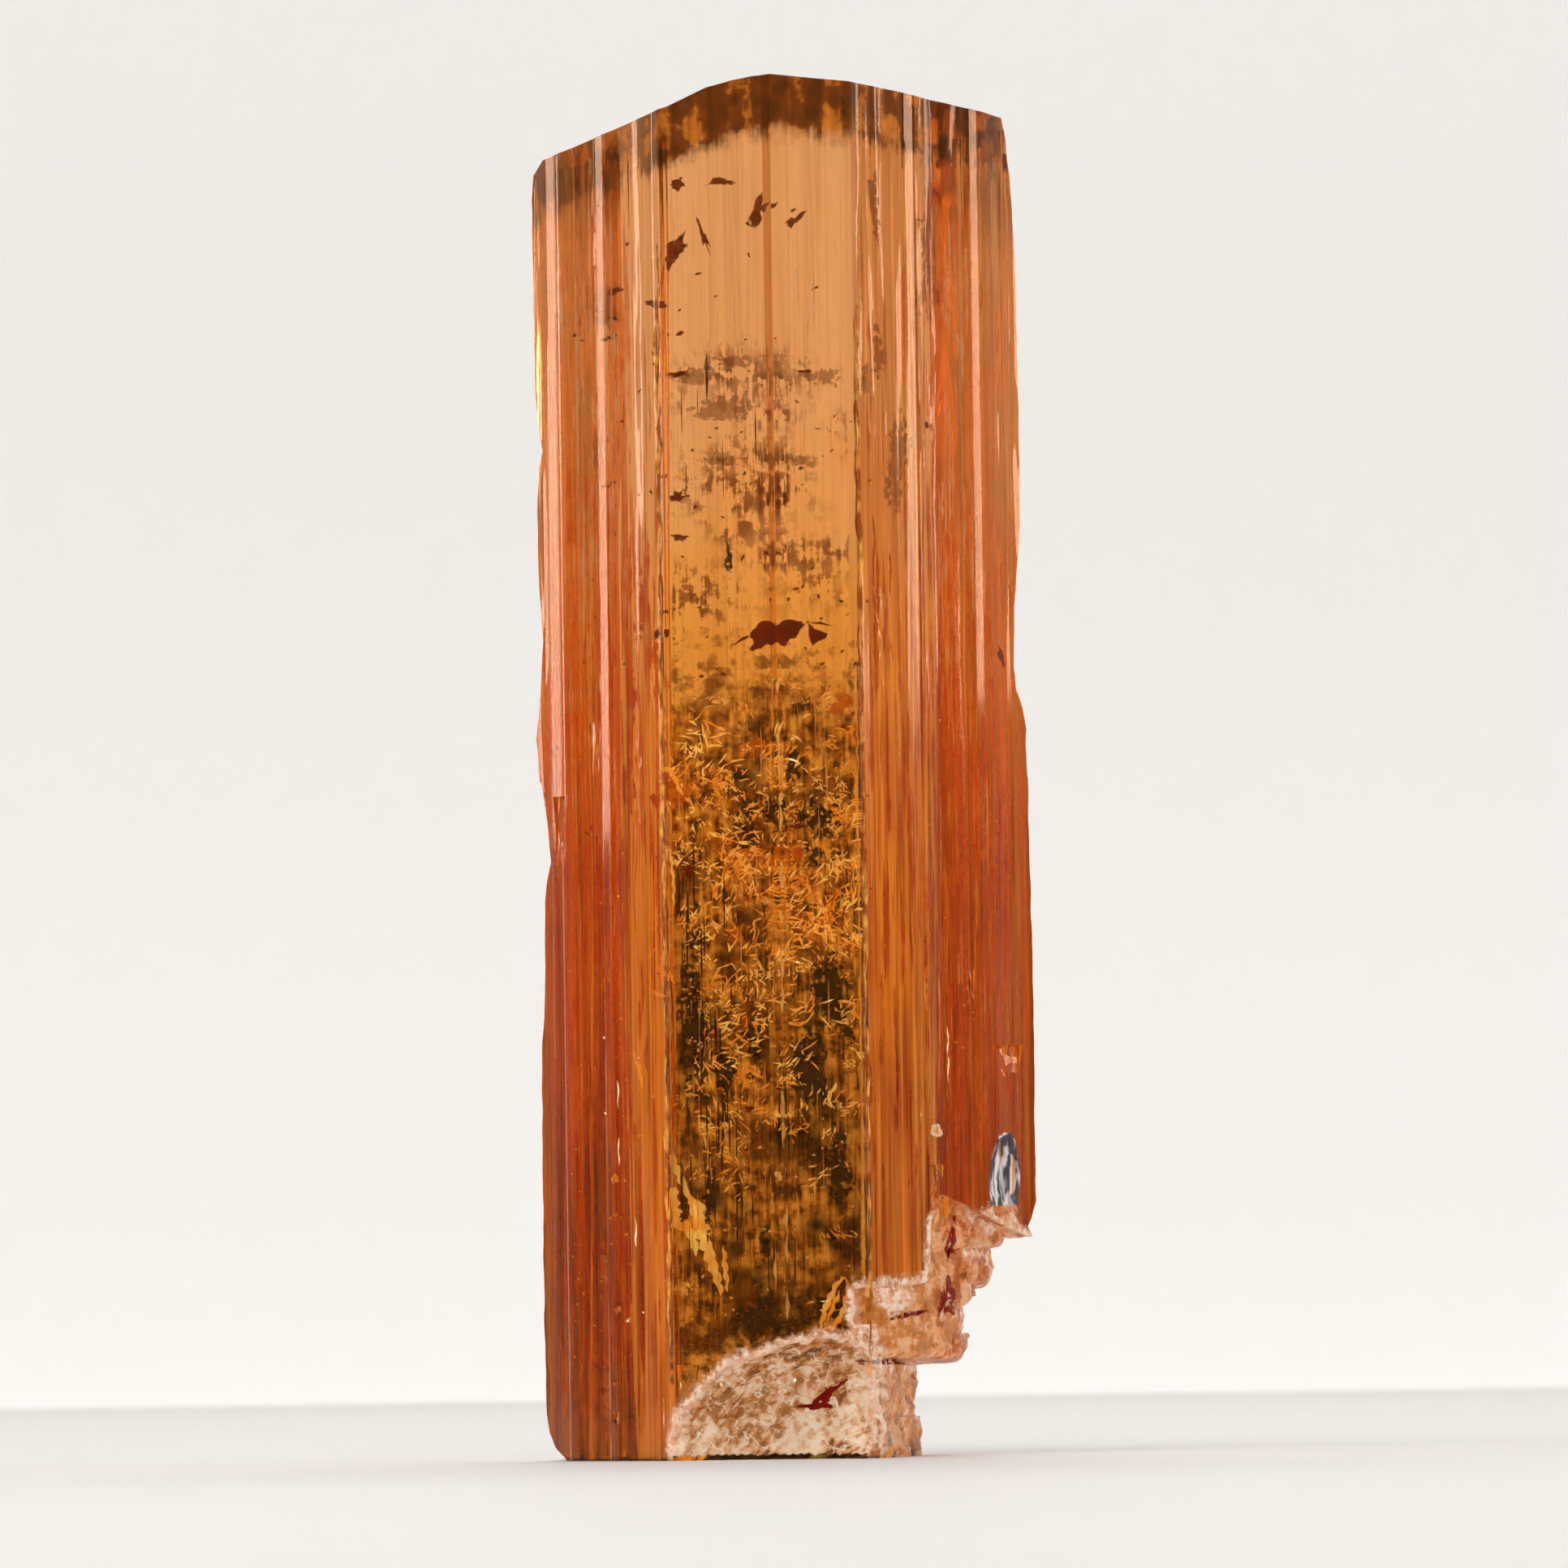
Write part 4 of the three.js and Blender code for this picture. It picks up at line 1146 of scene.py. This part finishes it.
# small deep red flakes in the same form, red flakes on the broken surfaces, and the large winged one
redFlakes = [(6.75, 24.6, 0.24, 0.66, 12), (-3.8, 25.2, 0.45, 0.22, 15), (-1.2, 10.6, 0.30, 0.18, 30),
             (-3.2, 7.4, 0.36, 0.28, 0), (-2.9, 17.9, 0.30, 0.45, 60), (0.85, 33.0, 0.50, 0.07, 2)]
openFlakes = [(1.05, 2.0, 1.0, 0.36, 38), (0.75, 1.62, 0.9, 0.30, 8), (2.9, 2.9, 1.9, 0.22, -2),
              (4.75, 4.8, 0.5, 1.2, 8), (4.9, 6.6, 0.3, 1.1, -6), (3.6, 4.35, 0.9, 0.18, 10)]
butterfly = {"x": -0.15, "z": 24.95, "depth": 0.14, "parts": [
    [(-0.78, 0.13), (-0.62, 0.32), (-0.42, 0.47), (-0.16, 0.43), (0.0, 0.30), (0.16, 0.43), (0.45, 0.49),
     (0.78, 0.43), (0.87, 0.32), (0.68, 0.13), (0.58, -0.10), (0.36, -0.13), (0.26, -0.39), (0.10, -0.36),
     (0.0, -0.23), (-0.13, -0.36), (-0.30, -0.26), (-0.45, -0.39), (-0.62, -0.42), (-0.75, -0.50),
     (-0.84, -0.39), (-0.70, -0.23), (-0.81, -0.03)],
    [(-1.49, -0.31), (-1.18, -0.20), (-0.86, -0.06), (-0.82, 0.03), (-1.05, -0.03), (-1.25, -0.19)],
    [(0.94, 0.39), (1.13, 0.20), (1.55, 0.06), (1.46, -0.10), (1.22, -0.20), (1.04, -0.34), (0.97, -0.16),
     (0.92, 0.10)],
    [(0.91, 0.38), (1.30, 0.42), (1.75, 0.27), (1.34, 0.33)]]}


def buildRustFlakes():
    store = newStore()
    for k, (x, z, width, tall, spin) in enumerate(rustFlakes):
        placeX, y = inside(x, flake["depth"] + 0.35 * math.sin(k * 2.3))
        addPlate(store, raggedOutline(width * 1.1, tall * 0.95, 0.9, k + 1), flake["thickness"],
                 facing(placeX, y, z, frontFace(x)[1] + 12 * math.sin(k * 1.7), 24 * math.sin(k * 2.9), spin))
    # loose crumbs around the larger flakes
    generator = np.random.default_rng(flake["crumbSeed"])
    for k in range(flake["crumbs"]):
        x, z = generator.uniform(-5.6, 2.6), generator.triangular(8, 29, 39)
        size = generator.uniform(0.06, 0.17)
        y = frontFace(x)[0] + generator.uniform(0.5, 2.5)
        addPlate(store, raggedOutline(size * 1.5, size * 0.8, 0.8, k + 40, 9), flake["thickness"] * 0.7,
                 facing(x, y, z, 40 * math.sin(k), 40 * math.cos(k * 1.3), 50 * math.sin(k * 3.1)))
    return finishStore("rust_flakes", store, "rustFlake")


def buildRedFlakes():
    store = newStore()
    for part in butterfly["parts"]:
        outline = divide(part, flake["spacing"])
        middleU, middleV = (sum(point[k] for point in outline) / len(outline) for k in range(2))
        addPlate(store, [(u - middleU, v - middleV) for u, v in outline], flake["thickness"],
                 alongFaces(butterfly["x"] + middleU, butterfly["z"] + middleV, butterfly["depth"]))
    for k, (x, z, width, tall, spin) in enumerate(redFlakes):
        placeX, y = inside(x, 0.4)
        addPlate(store, raggedOutline(width, tall, 0.9, k + 61), flake["thickness"],
                 facing(placeX, y, z, frontFace(x)[1], 10, spin))
    for k, (x, z, width, tall, spin) in enumerate(openFlakes):
        outline = divide(raggedOutline(width, tall, 0.9, k + 83), flake["spacing"])
        addPlate(store, outline, flake["thickness"], onSurface(x, z, spin))
    return finishStore("red_flakes", store, "redFlake")


# soft-edged stains: x, z, width, height, spin, depth behind the front face
stains = {
    "darkStain": [
        (1.15, 19.3, 1.0, 0.9, 0, 0.4), (1.35, 14.1, 1.0, 2.8, 10, 0.45), (-2.5, 17.0, 0.5, 0.8, 0, 1.0),
        (0.5, 22.4, 0.8, 1.2, 0, 1.5), (-2.9, 13.4, 0.8, 3.4, 3, 0.45), (-2.5, 10.4, 1.1, 2.6, -4, 1.2),
        (0.6, 11.6, 1.2, 2.2, 0, 0.6), (1.5, 8.6, 0.7, 2.0, 0, 0.5), (-1.9, 11.8, 0.8, 1.4, 0, 0.6),
        (1.3, 4.6, 1.4, 1.0, 0, 0.8), (0.9, 18.3, 0.6, 0.5, 0, 0.35), (0.3, 21.0, 0.5, 0.9, 0, 0.35),
        (-2.4, 8.0, 0.5, 1.6, 0, 0.5), (-0.9, 4.2, 1.3, 1.2, 0, 0.8), (-1.6, 15.0, 1.2, 0.7, 0, 2.0),
        (-0.9, 12.3, 0.8, 1.6, 0, 2.0), (0.9, 10.8, 1.0, 1.4, 0, 1.5), (-1.8, 7.2, 0.9, 2.6, 0, 1.6),
        (-0.7, 5.6, 0.7, 2.2, 0, 1.7), (1.0, 7.0, 0.9, 1.3, 0, 1.5), (-0.4, 19.6, 0.6, 0.9, 20, 1.6),
        (-1.5, 20.6, 0.9, 0.5, 0, 1.5), (1.3, 16.4, 1.0, 0.4, -30, 1.3), (-1.6, 27.4, 0.25, 0.8, 0, 1.2)],
    "orangeStain": [
        (0.85, 17.2, 0.9, 0.4, -28, 1.2), (1.55, 15.6, 1.5, 0.5, -12, 1.2), (-0.85, 21.5, 1.1, 0.45, 12, 1.3),
        (1.2, 21.7, 1.4, 0.45, -10, 1.2), (-3.6, 20.3, 1.2, 0.9, 10, 0.8), (-4.75, 20.6, 0.5, 1.7, 5, 0.7),
        (-1.0, 18.2, 1.6, 0.6, -8, 1.6), (0.3, 18.3, 1.0, 0.5, 20, 1.4), (-2.2, 19.0, 0.8, 0.9, 40, 1.4),
        (-3.8, 24.0, 0.5, 1.5, 0, 0.8), (-1.6, 15.9, 0.7, 0.6, 0, 1.4), (1.8, 22.9, 0.7, 0.7, 0, 1.0),
        (-4.6, 23.2, 0.5, 1.2, 0, 0.8), (6.4, 18.6, 1.2, 1.6, 0, 1.0), (-4.3, 26.0, 0.5, 2.0, 0, 0.9)],
    "brownCloud": [
        (0.7, 30.3, 1.3, 0.30, 0, 1.6), (-1.7, 30.4, 1.1, 0.30, 0, 1.5), (-2.6, 33.0, 1.4, 0.5, 0, 1.2),
        (-1.4, 33.4, 1.4, 0.4, -6, 1.9), (-1.8, 32.0, 1.9, 0.6, 0, 2.0), (1.4, 32.9, 1.5, 0.45, 0, 1.6),
        (2.7, 32.8, 0.5, 1.0, 0, 1.0), (-5.3, 35.2, 0.7, 1.4, 0, 0.9), (-5.6, 31.0, 0.6, 1.8, 0, 0.9),
        (4.7, 36.6, 0.8, 3.0, 0, 1.0), (3.0, 38.2, 0.4, 2.0, 0, 0.8), (3.6, 30.5, 0.9, 2.4, 0, 0.8),
        (3.1, 33.6, 0.6, 1.2, 0, 0.8)],
}


def buildStains(name, finish):
    store = newStore()
    for k, (x, z, width, tall, spin, depth) in enumerate(stains[finish]):
        placeX, y = inside(x, depth)
        addPlate(store, raggedOutline(width * 1.3, tall * 1.3, 0.6, k + 7), flake["thickness"],
                 facing(placeX, y, z, frontFace(x)[1] + 8 * math.sin(k * 1.9), 8 * math.sin(k * 2.7), spin))
    return finishStore(name, store, finish)


blades = [
    # points along each golden blade as (x, z), then its width
    ([(-4.6, 12.5), (-4.45, 12.0), (-4.3, 11.3)], 0.13),
    ([(-3.75, 9.9), (-3.5, 9.2), (-3.1, 8.3), (-2.9, 7.7)], 0.22),
    ([(-3.0, 8.2), (-2.75, 7.4), (-2.45, 6.5), (-2.2, 5.7), (-2.0, 5.0)], 0.34),
    ([(-1.95, 6.5), (-1.9, 5.8), (-1.85, 5.1)], 0.14), ([(-2.7, 7.9), (-2.55, 7.3), (-2.4, 6.7)], 0.34),
    ([(-3.15, 7.3), (-2.9, 6.8), (-2.75, 6.2)], 0.26),
    ([(-3.4, 8.3), (-3.5, 7.7), (-3.3, 7.2), (-2.95, 7.0)], 0.38),
    ([(0.75, 3.9), (0.95, 4.6), (1.3, 5.3), (1.55, 5.5)], 0.17),
    ([(0.75, 3.9), (1.2, 4.0), (1.5, 4.5), (1.65, 5.2), (1.55, 5.5)], 0.15),
    ([(1.0, 4.2), (1.2, 4.7), (1.4, 5.1)], 0.12), ([(4.2, 15.0), (4.1, 14.4), (4.15, 13.6)], 0.10),
    ([(1.4, 11.4), (1.1, 10.9), (1.3, 10.6)], 0.12),
    # along the sides of the clear middle
    ([(2.32, 38.0), (2.36, 37.0), (2.30, 36.2)], 0.10), ([(2.34, 35.9), (2.38, 35.0), (2.34, 34.2)], 0.13),
    ([(2.36, 34.0), (2.33, 33.3), (2.38, 32.3)], 0.12), ([(3.85, 36.3), (3.75, 34.8), (3.70, 33.6)], 0.07),
    ([(3.62, 33.5), (3.90, 32.4), (3.86, 31.2)], 0.09), ([(3.86, 31.0), (3.80, 29.8), (3.84, 28.6)], 0.07),
    ([(1.95, 41.5), (2.0, 40.9), (2.02, 40.2)], 0.12), ([(2.35, 41.4), (2.42, 40.8), (2.40, 40.1)], 0.12),
    ([(-3.9, 24.8), (-3.95, 24.0), (-3.85, 23.2)], 0.12), ([(-3.65, 21.2), (-3.3, 20.9), (-3.0, 20.2)], 0.13),
    ([(-3.7, 16.2), (-3.5, 15.6), (-3.75, 15.0), (-3.6, 14.4)], 0.12),
    ([(-3.9, 15.6), (-4.2, 15.1), (-4.0, 14.5)], 0.10), ([(-3.85, 15.0), (-3.55, 14.9), (-3.35, 14.5)], 0.10),
    ([(-4.2, 14.5), (-3.9, 14.2), (-3.5, 14.1)], 0.12),
    ([(-3.6, 19.0), (-3.4, 18.4), (-3.3, 17.4), (-3.35, 16.6)], 0.09),
]
bladeFinish = {"depth": 0.55, "thickness": 0.05, "spacing": 0.12}


def buildBlades():
    store = newStore()
    for number, (path, width) in enumerate(blades):
        route = []
        for k, (x, z) in enumerate(divide(path, bladeFinish["spacing"], closed=False)):
            y = frontFace(x)[0] + bladeFinish["depth"] + 0.03 * math.sin(k * 0.9 + number)
            route.append((x + 0.03 * math.sin(k * 1.9 + number), y, z))
        addRibbon(store, route, width, bladeFinish["thickness"], 0.3, number)
    return finishStore("golden_blades", store, "goldenCrack")


# feathery clusters of short golden strands along the healed cracks, thickest in the lower half
strands = {"clusters": 250, "seed": 23, "low": 4.2, "peak": 19.5, "high": 23.9, "left": -3.3, "right": 2.1,
           "limits": (-3.4, 1.9), "near": 0.2, "far": 1.2, "narrowing": 0.196, "width": 0.048, "steps": 5}


def buildStrands():
    store = newStore()
    generator = np.random.default_rng(strands["seed"])
    draw = generator.uniform
    for cluster in range(strands["clusters"]):
        middleZ = generator.triangular(strands["low"], strands["peak"], strands["high"])
        depth = draw(strands["near"], strands["far"])
        shift = depth * strands["narrowing"]
        middleX = draw(strands["left"] + shift, strands["right"] - shift)
        lean = generator.normal(0.0, 0.8)
        size = generator.choice([0.45, 0.6, 0.8, 1.15])
        curl = generator.normal(0, 0.2)
        for number in range(generator.integers(5, 16)):
            heading = lean + generator.normal(0.0, 0.45) + number * 0.04
            x = middleX + generator.normal(0, 0.34) * size
            x = min(max(x, strands["limits"][0]), strands["limits"][1])
            z = middleZ + generator.normal(0, 0.24) * size
            y = frontFace(x)[0] + depth + generator.normal(0, 0.08)
            length = size * draw(0.2, 0.65)
            width = strands["width"] * draw(0.35, 1.0) * (0.5 + size)
            bend = curl + generator.normal(0, 0.2)
            route = []
            for k in range(strands["steps"]):
                route.append((x, y, z))
                heading += bend * 0.5
                x += math.cos(heading) * length / strands["steps"]
                z += math.sin(heading) * length / strands["steps"]
            addRibbon(store, route, width, width * 0.4, 0.35, number)
    print("golden strands", len(store["faces"]), "faces")
    return finishStore("golden_strands", store, "goldenStrand")


# upright dark bars beside the strands: how many, between which x, foot between which z
barSets = [(60, (-3.3, -1.7), (5.5, 17.5)), (26, (-1.7, 1.9), (4.0, 15.0)), (7, (-3.2, 0.5), (28.5, 33.0))]
barSeed = 9


def buildBars():
    store = newStore()
    draw = np.random.default_rng(barSeed).uniform
    for count, sides, feet in barSets:
        for number in range(count):
            x, foot, tall = draw(*sides), draw(*feet), draw(0.4, 2.2)
            y = frontFace(x)[0] + draw(0.3, 0.9)
            route = [(x, y, foot + tall * k / 6) for k in range(7)]
            addRibbon(store, route, draw(0.02, 0.07), 0.02, 0.25, number)
    return finishStore("dark_bars", store, "darkStain")


# pale grains: x, z and width, then tiny ones scattered low down, with the share left of the clear middle
specks = [(-5.3, 8.6, 0.30), (-5.28, 4.6, 0.26), (-4.95, 4.3, 0.20), (-1.75, 23.0, 0.26), (-0.58, 16.9, 0.22),
          (-0.28, 8.6, 0.28), (-6.6, 3.2, 0.1), (-4.1, 5.6, 0.1), (2.9, 21.0, 0.1), (3.3, 18.4, 0.12),
          (-5.9, 12.0, 0.09), (-3.9, 26.9, 0.10), (4.4, 19.3, 0.14), (3.9, 34.2, 0.10), (-5.0, 6.9, 0.12)]
dust = {"count": 300, "seed": 31, "leftShare": 0.35, "left": (-6.6, -3.7), "right": (-3.5, 5.8), "low": 1.5,
        "high": 25.0, "size": (0.03, 0.09), "breakTop": 9, "breakLeft": 2}


def buildSpecks():
    store = newStore()
    for k, (x, z, size) in enumerate(specks):
        surface, turn = frontFace(x)
        addPlate(store, raggedOutline(size * 0.9, size * 0.8, 0.8, k, 16), size * 0.4,
                 facing(x, surface + 0.2, z, 0.5 * turn, 10, k * 40.0))
    generator = np.random.default_rng(dust["seed"])
    for k in range(dust["count"]):
        x = generator.uniform(*dust["left" if generator.uniform() < dust["leftShare"] else "right"])
        z = generator.triangular(dust["low"], dust["low"] + 4, dust["high"])
        size = generator.uniform(*dust["size"])
        y = frontFace(x)[0] + 0.12 + generator.uniform(0, 0.5)
        if z > dust["breakTop"] or x < dust["breakLeft"]:
            addPlate(store, raggedOutline(size * 1.4, size, 0.6, k, 6), size * 0.4,
                     facing(x, y, z, 0, 0, 60 * math.sin(k * 1.3)))
    return finishStore("pale_specks", store, "paleGrain")


# a painted highlight along the front edge (the first six rows) and pale bruises below the strands: x, foot,
# top, width
edgeGlintsAndBruises = [(-0.15, 20.6, 23.6, 0.05), (-0.12, 17.2, 20.2, 0.07), (-0.14, 12.6, 16.6, 0.05),
           (-0.16, 9.4, 12.0, 0.06), (-0.12, 4.2, 8.8, 0.07), (-0.45, 4.4, 6.3, 0.08),
           (2.24, 6.0, 12.5, 0.035), (-3.52, 6.5, 17.0, 0.03), (0.75, 7.2, 8.4, 0.07),
           (-3.4, 1.2, 2.4, 0.06), (-3.9, 1.0, 2.8, 0.05), (3.4, 7.8, 11.8, 0.04),
           (4.0, 10.2, 13.4, 0.05), (-5.2, 9.0, 11.6, 0.04), (-4.7, 5.6, 7.4, 0.05),
           (4.9, 11.4, 14.0, 0.04)]


def buildEdgeGlintsAndBruises():
    # ribbons for the painted highlight on the front edge and for the pale bruises
    store = newStore()
    for k, (x, foot, top, width) in enumerate(edgeGlintsAndBruises):
        count = max(6, round((top - foot) / 0.22))
        y = frontFace(x)[0] + 0.1
        route = [(x + 0.02 * math.sin(step * 1.9 + k), y, foot + (top - foot) * step / count)
                 for step in range(count + 1)]
        for first in range(0, count, 4):
            if math.sin(first * 5.3 + k * 2.1) > -0.45:
                addRibbon(store, route[first:first + 5], width, 0.03, 0.5, first + k)
    return finishStore("pale_bruises_and_edge_glints", store, "paleGrain")


def risingLine(steps, foot, length, depth, sway, x, pace, phase):
    # a swaying line that rises behind the front faces
    route = []
    for k in range(steps + 1):
        placeX = x + sway * math.sin(k * pace + phase)
        route.append((placeX, frontFace(placeX)[0] + depth, foot + length * k / steps))
    return route


# long thin lines just behind the faces: how many, between which x, between which z, lengths, widths
wispSets = {
    "paleWisp": [(150, (2.5, 6.2), (14, 37), (0.6, 4.5), (0.03, 0.13)),
                 (150, (-7.0, -3.8), (15, 40), (0.6, 6.0), (0.03, 0.12)),
                 (90, (-3.5, 2.2), (5, 37), (0.3, 1.8), (0.015, 0.05)),
                 (50, (-7.2, -3.8), (1, 15), (0.4, 2.5), (0.015, 0.05)),
                 (60, (2.4, 7.0), (8, 15), (0.4, 2.5), (0.015, 0.06))],
    "orangeWisp": [(150, (2.4, 7.1), (7, 27), (0.6, 4.0), (0.03, 0.16)),
                   (190, (-7.2, -3.7), (1, 28), (0.6, 5.0), (0.03, 0.16))]}
wispFinish = {"paleWisp": 8, "orangeWisp": 10, "top": 39.5}  # seeds, and how high a line may reach


def buildWisps(name, finish):
    store = newStore()
    generator = np.random.default_rng(wispFinish[finish])
    for count, sides, feet, lengths, widths in wispSets[finish]:
        for number in range(count):
            x, length, width, foot = (generator.uniform(*limits) for limits in (sides, lengths, widths, feet))
            depth = generator.uniform(0.2, 0.6)
            route = risingLine(8, foot, length, depth, generator.normal(0, 0.012), x, 0.9, number)
            if route[-1][2] < wispFinish["top"]:
                addRibbon(store, route, width, 0.02, 0.3, number)
    return finishStore(name, store, finish)


# uneven seams where the clear middle meets the sides
seams = {"places": (-3.70, -3.63, 2.33, 2.41), "foot": 3.4, "top": 35.5, "piece": 2.6, "width": 0.13,
         "depth": 0.07}


def buildSeams():
    store = newStore()
    for side, x in enumerate(seams["places"]):
        for number in range(round((seams["top"] - seams["foot"]) / seams["piece"])):
            foot = seams["foot"] + seams["piece"] * (number + 0.4 * math.sin(side * 2.2 + number * 1.7))
            length = seams["piece"] * (1.25 + 0.3 * math.sin(side + number * 2.9))
            width = seams["width"] * (0.75 + 0.35 * math.sin(number * 1.3 + side))
            route = risingLine(12, foot, length, seams["depth"], 0.025, x, 1.1, number * 2 + side)
            addRibbon(store, route, width, 0.02, 0.3, number)
    return finishStore("side_seams", store, "seam")


veils = [
    # sheets along the two faces of the clear middle: finish, middle, width and height, turn, how far the top
    # and the foot fade, noise seed
    ("smoke", (-1.43, -4.06, 13.5), (3.90, 23.2), -27.8, (6.0, 3.0), 1),
    ("smoke", (0.64, -4.31, 13.6), (2.80, 22.6), 27.8, (6.0, 3.0), 8),
    ("amberVeil", (-1.58, -4.88, 14.0), (3.90, 20.8), -27.8, (2.0, 1.2), 2),
    ("amberVeil", (0.80, -5.13, 13.9), (2.95, 20.4), 27.8, (2.0, 1.2), 6),
    ("haze", (-1.5, -4.5, 29.3), (3.8, 10.5), -27.8, (1.6, 1.6), 4),
    ("haze", (0.65, -4.75, 29.6), (2.8, 9.5), 27.8, (1.6, 1.6), 5),
]
veilShape = {"bow": 0.12, "columns": 20, "rows": 64, "thickness": 0.03, "sideFade": 0.12}


def buildVeil(number, finish, middle, size, turn, reach, seed):
    (width, tall), (top, foot) = size, reach
    place = facing(*middle, turn, 0)
    fades = []

    def lattice(a, b, c):
        u, v = a / (veilShape["columns"] - 1) - 0.5, b / (veilShape["rows"] - 1) - 0.5
        bow = veilShape["bow"] * (noise.noise(Vector((u * 1.6, v * 4.5, seed * 2.0))) + 0.5 * u * u)
        fades.append(min(1.0, (0.5 - abs(u)) * width / veilShape["sideFade"], (0.5 - v) * tall / top,
                         (0.5 + v) * tall / foot))
        return place(u * width, v * tall, bow + veilShape["thickness"] * c)

    points, faces = blockLattice(veilShape["columns"], veilShape["rows"], 2, lattice)
    return makeObject("veil_" + str(number), points, faces, veilMaterials[finish], {"fade": fades})


veilMaterials = {name: buildVeilMaterial(name) for name in veilFinish}
flawPieces = [buildRustFlakes(), buildRedFlakes(), buildStains("dark_stains", "darkStain"),
              buildStains("orange_stains", "orangeStain"), buildStains("brown_clouds", "brownCloud"),
              buildBars(), buildBlades(), buildStrands(), buildSpecks(), buildEdgeGlintsAndBruises(),
              buildWisps("pale_wisps", "paleWisp"), buildWisps("orange_wisps", "orangeWisp"), buildSeams()]
flawPieces += [buildVeil(number, *item) for number, item in enumerate(veils)]
for piece in flawPieces:
    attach(piece, "root")
print("flaws ready")
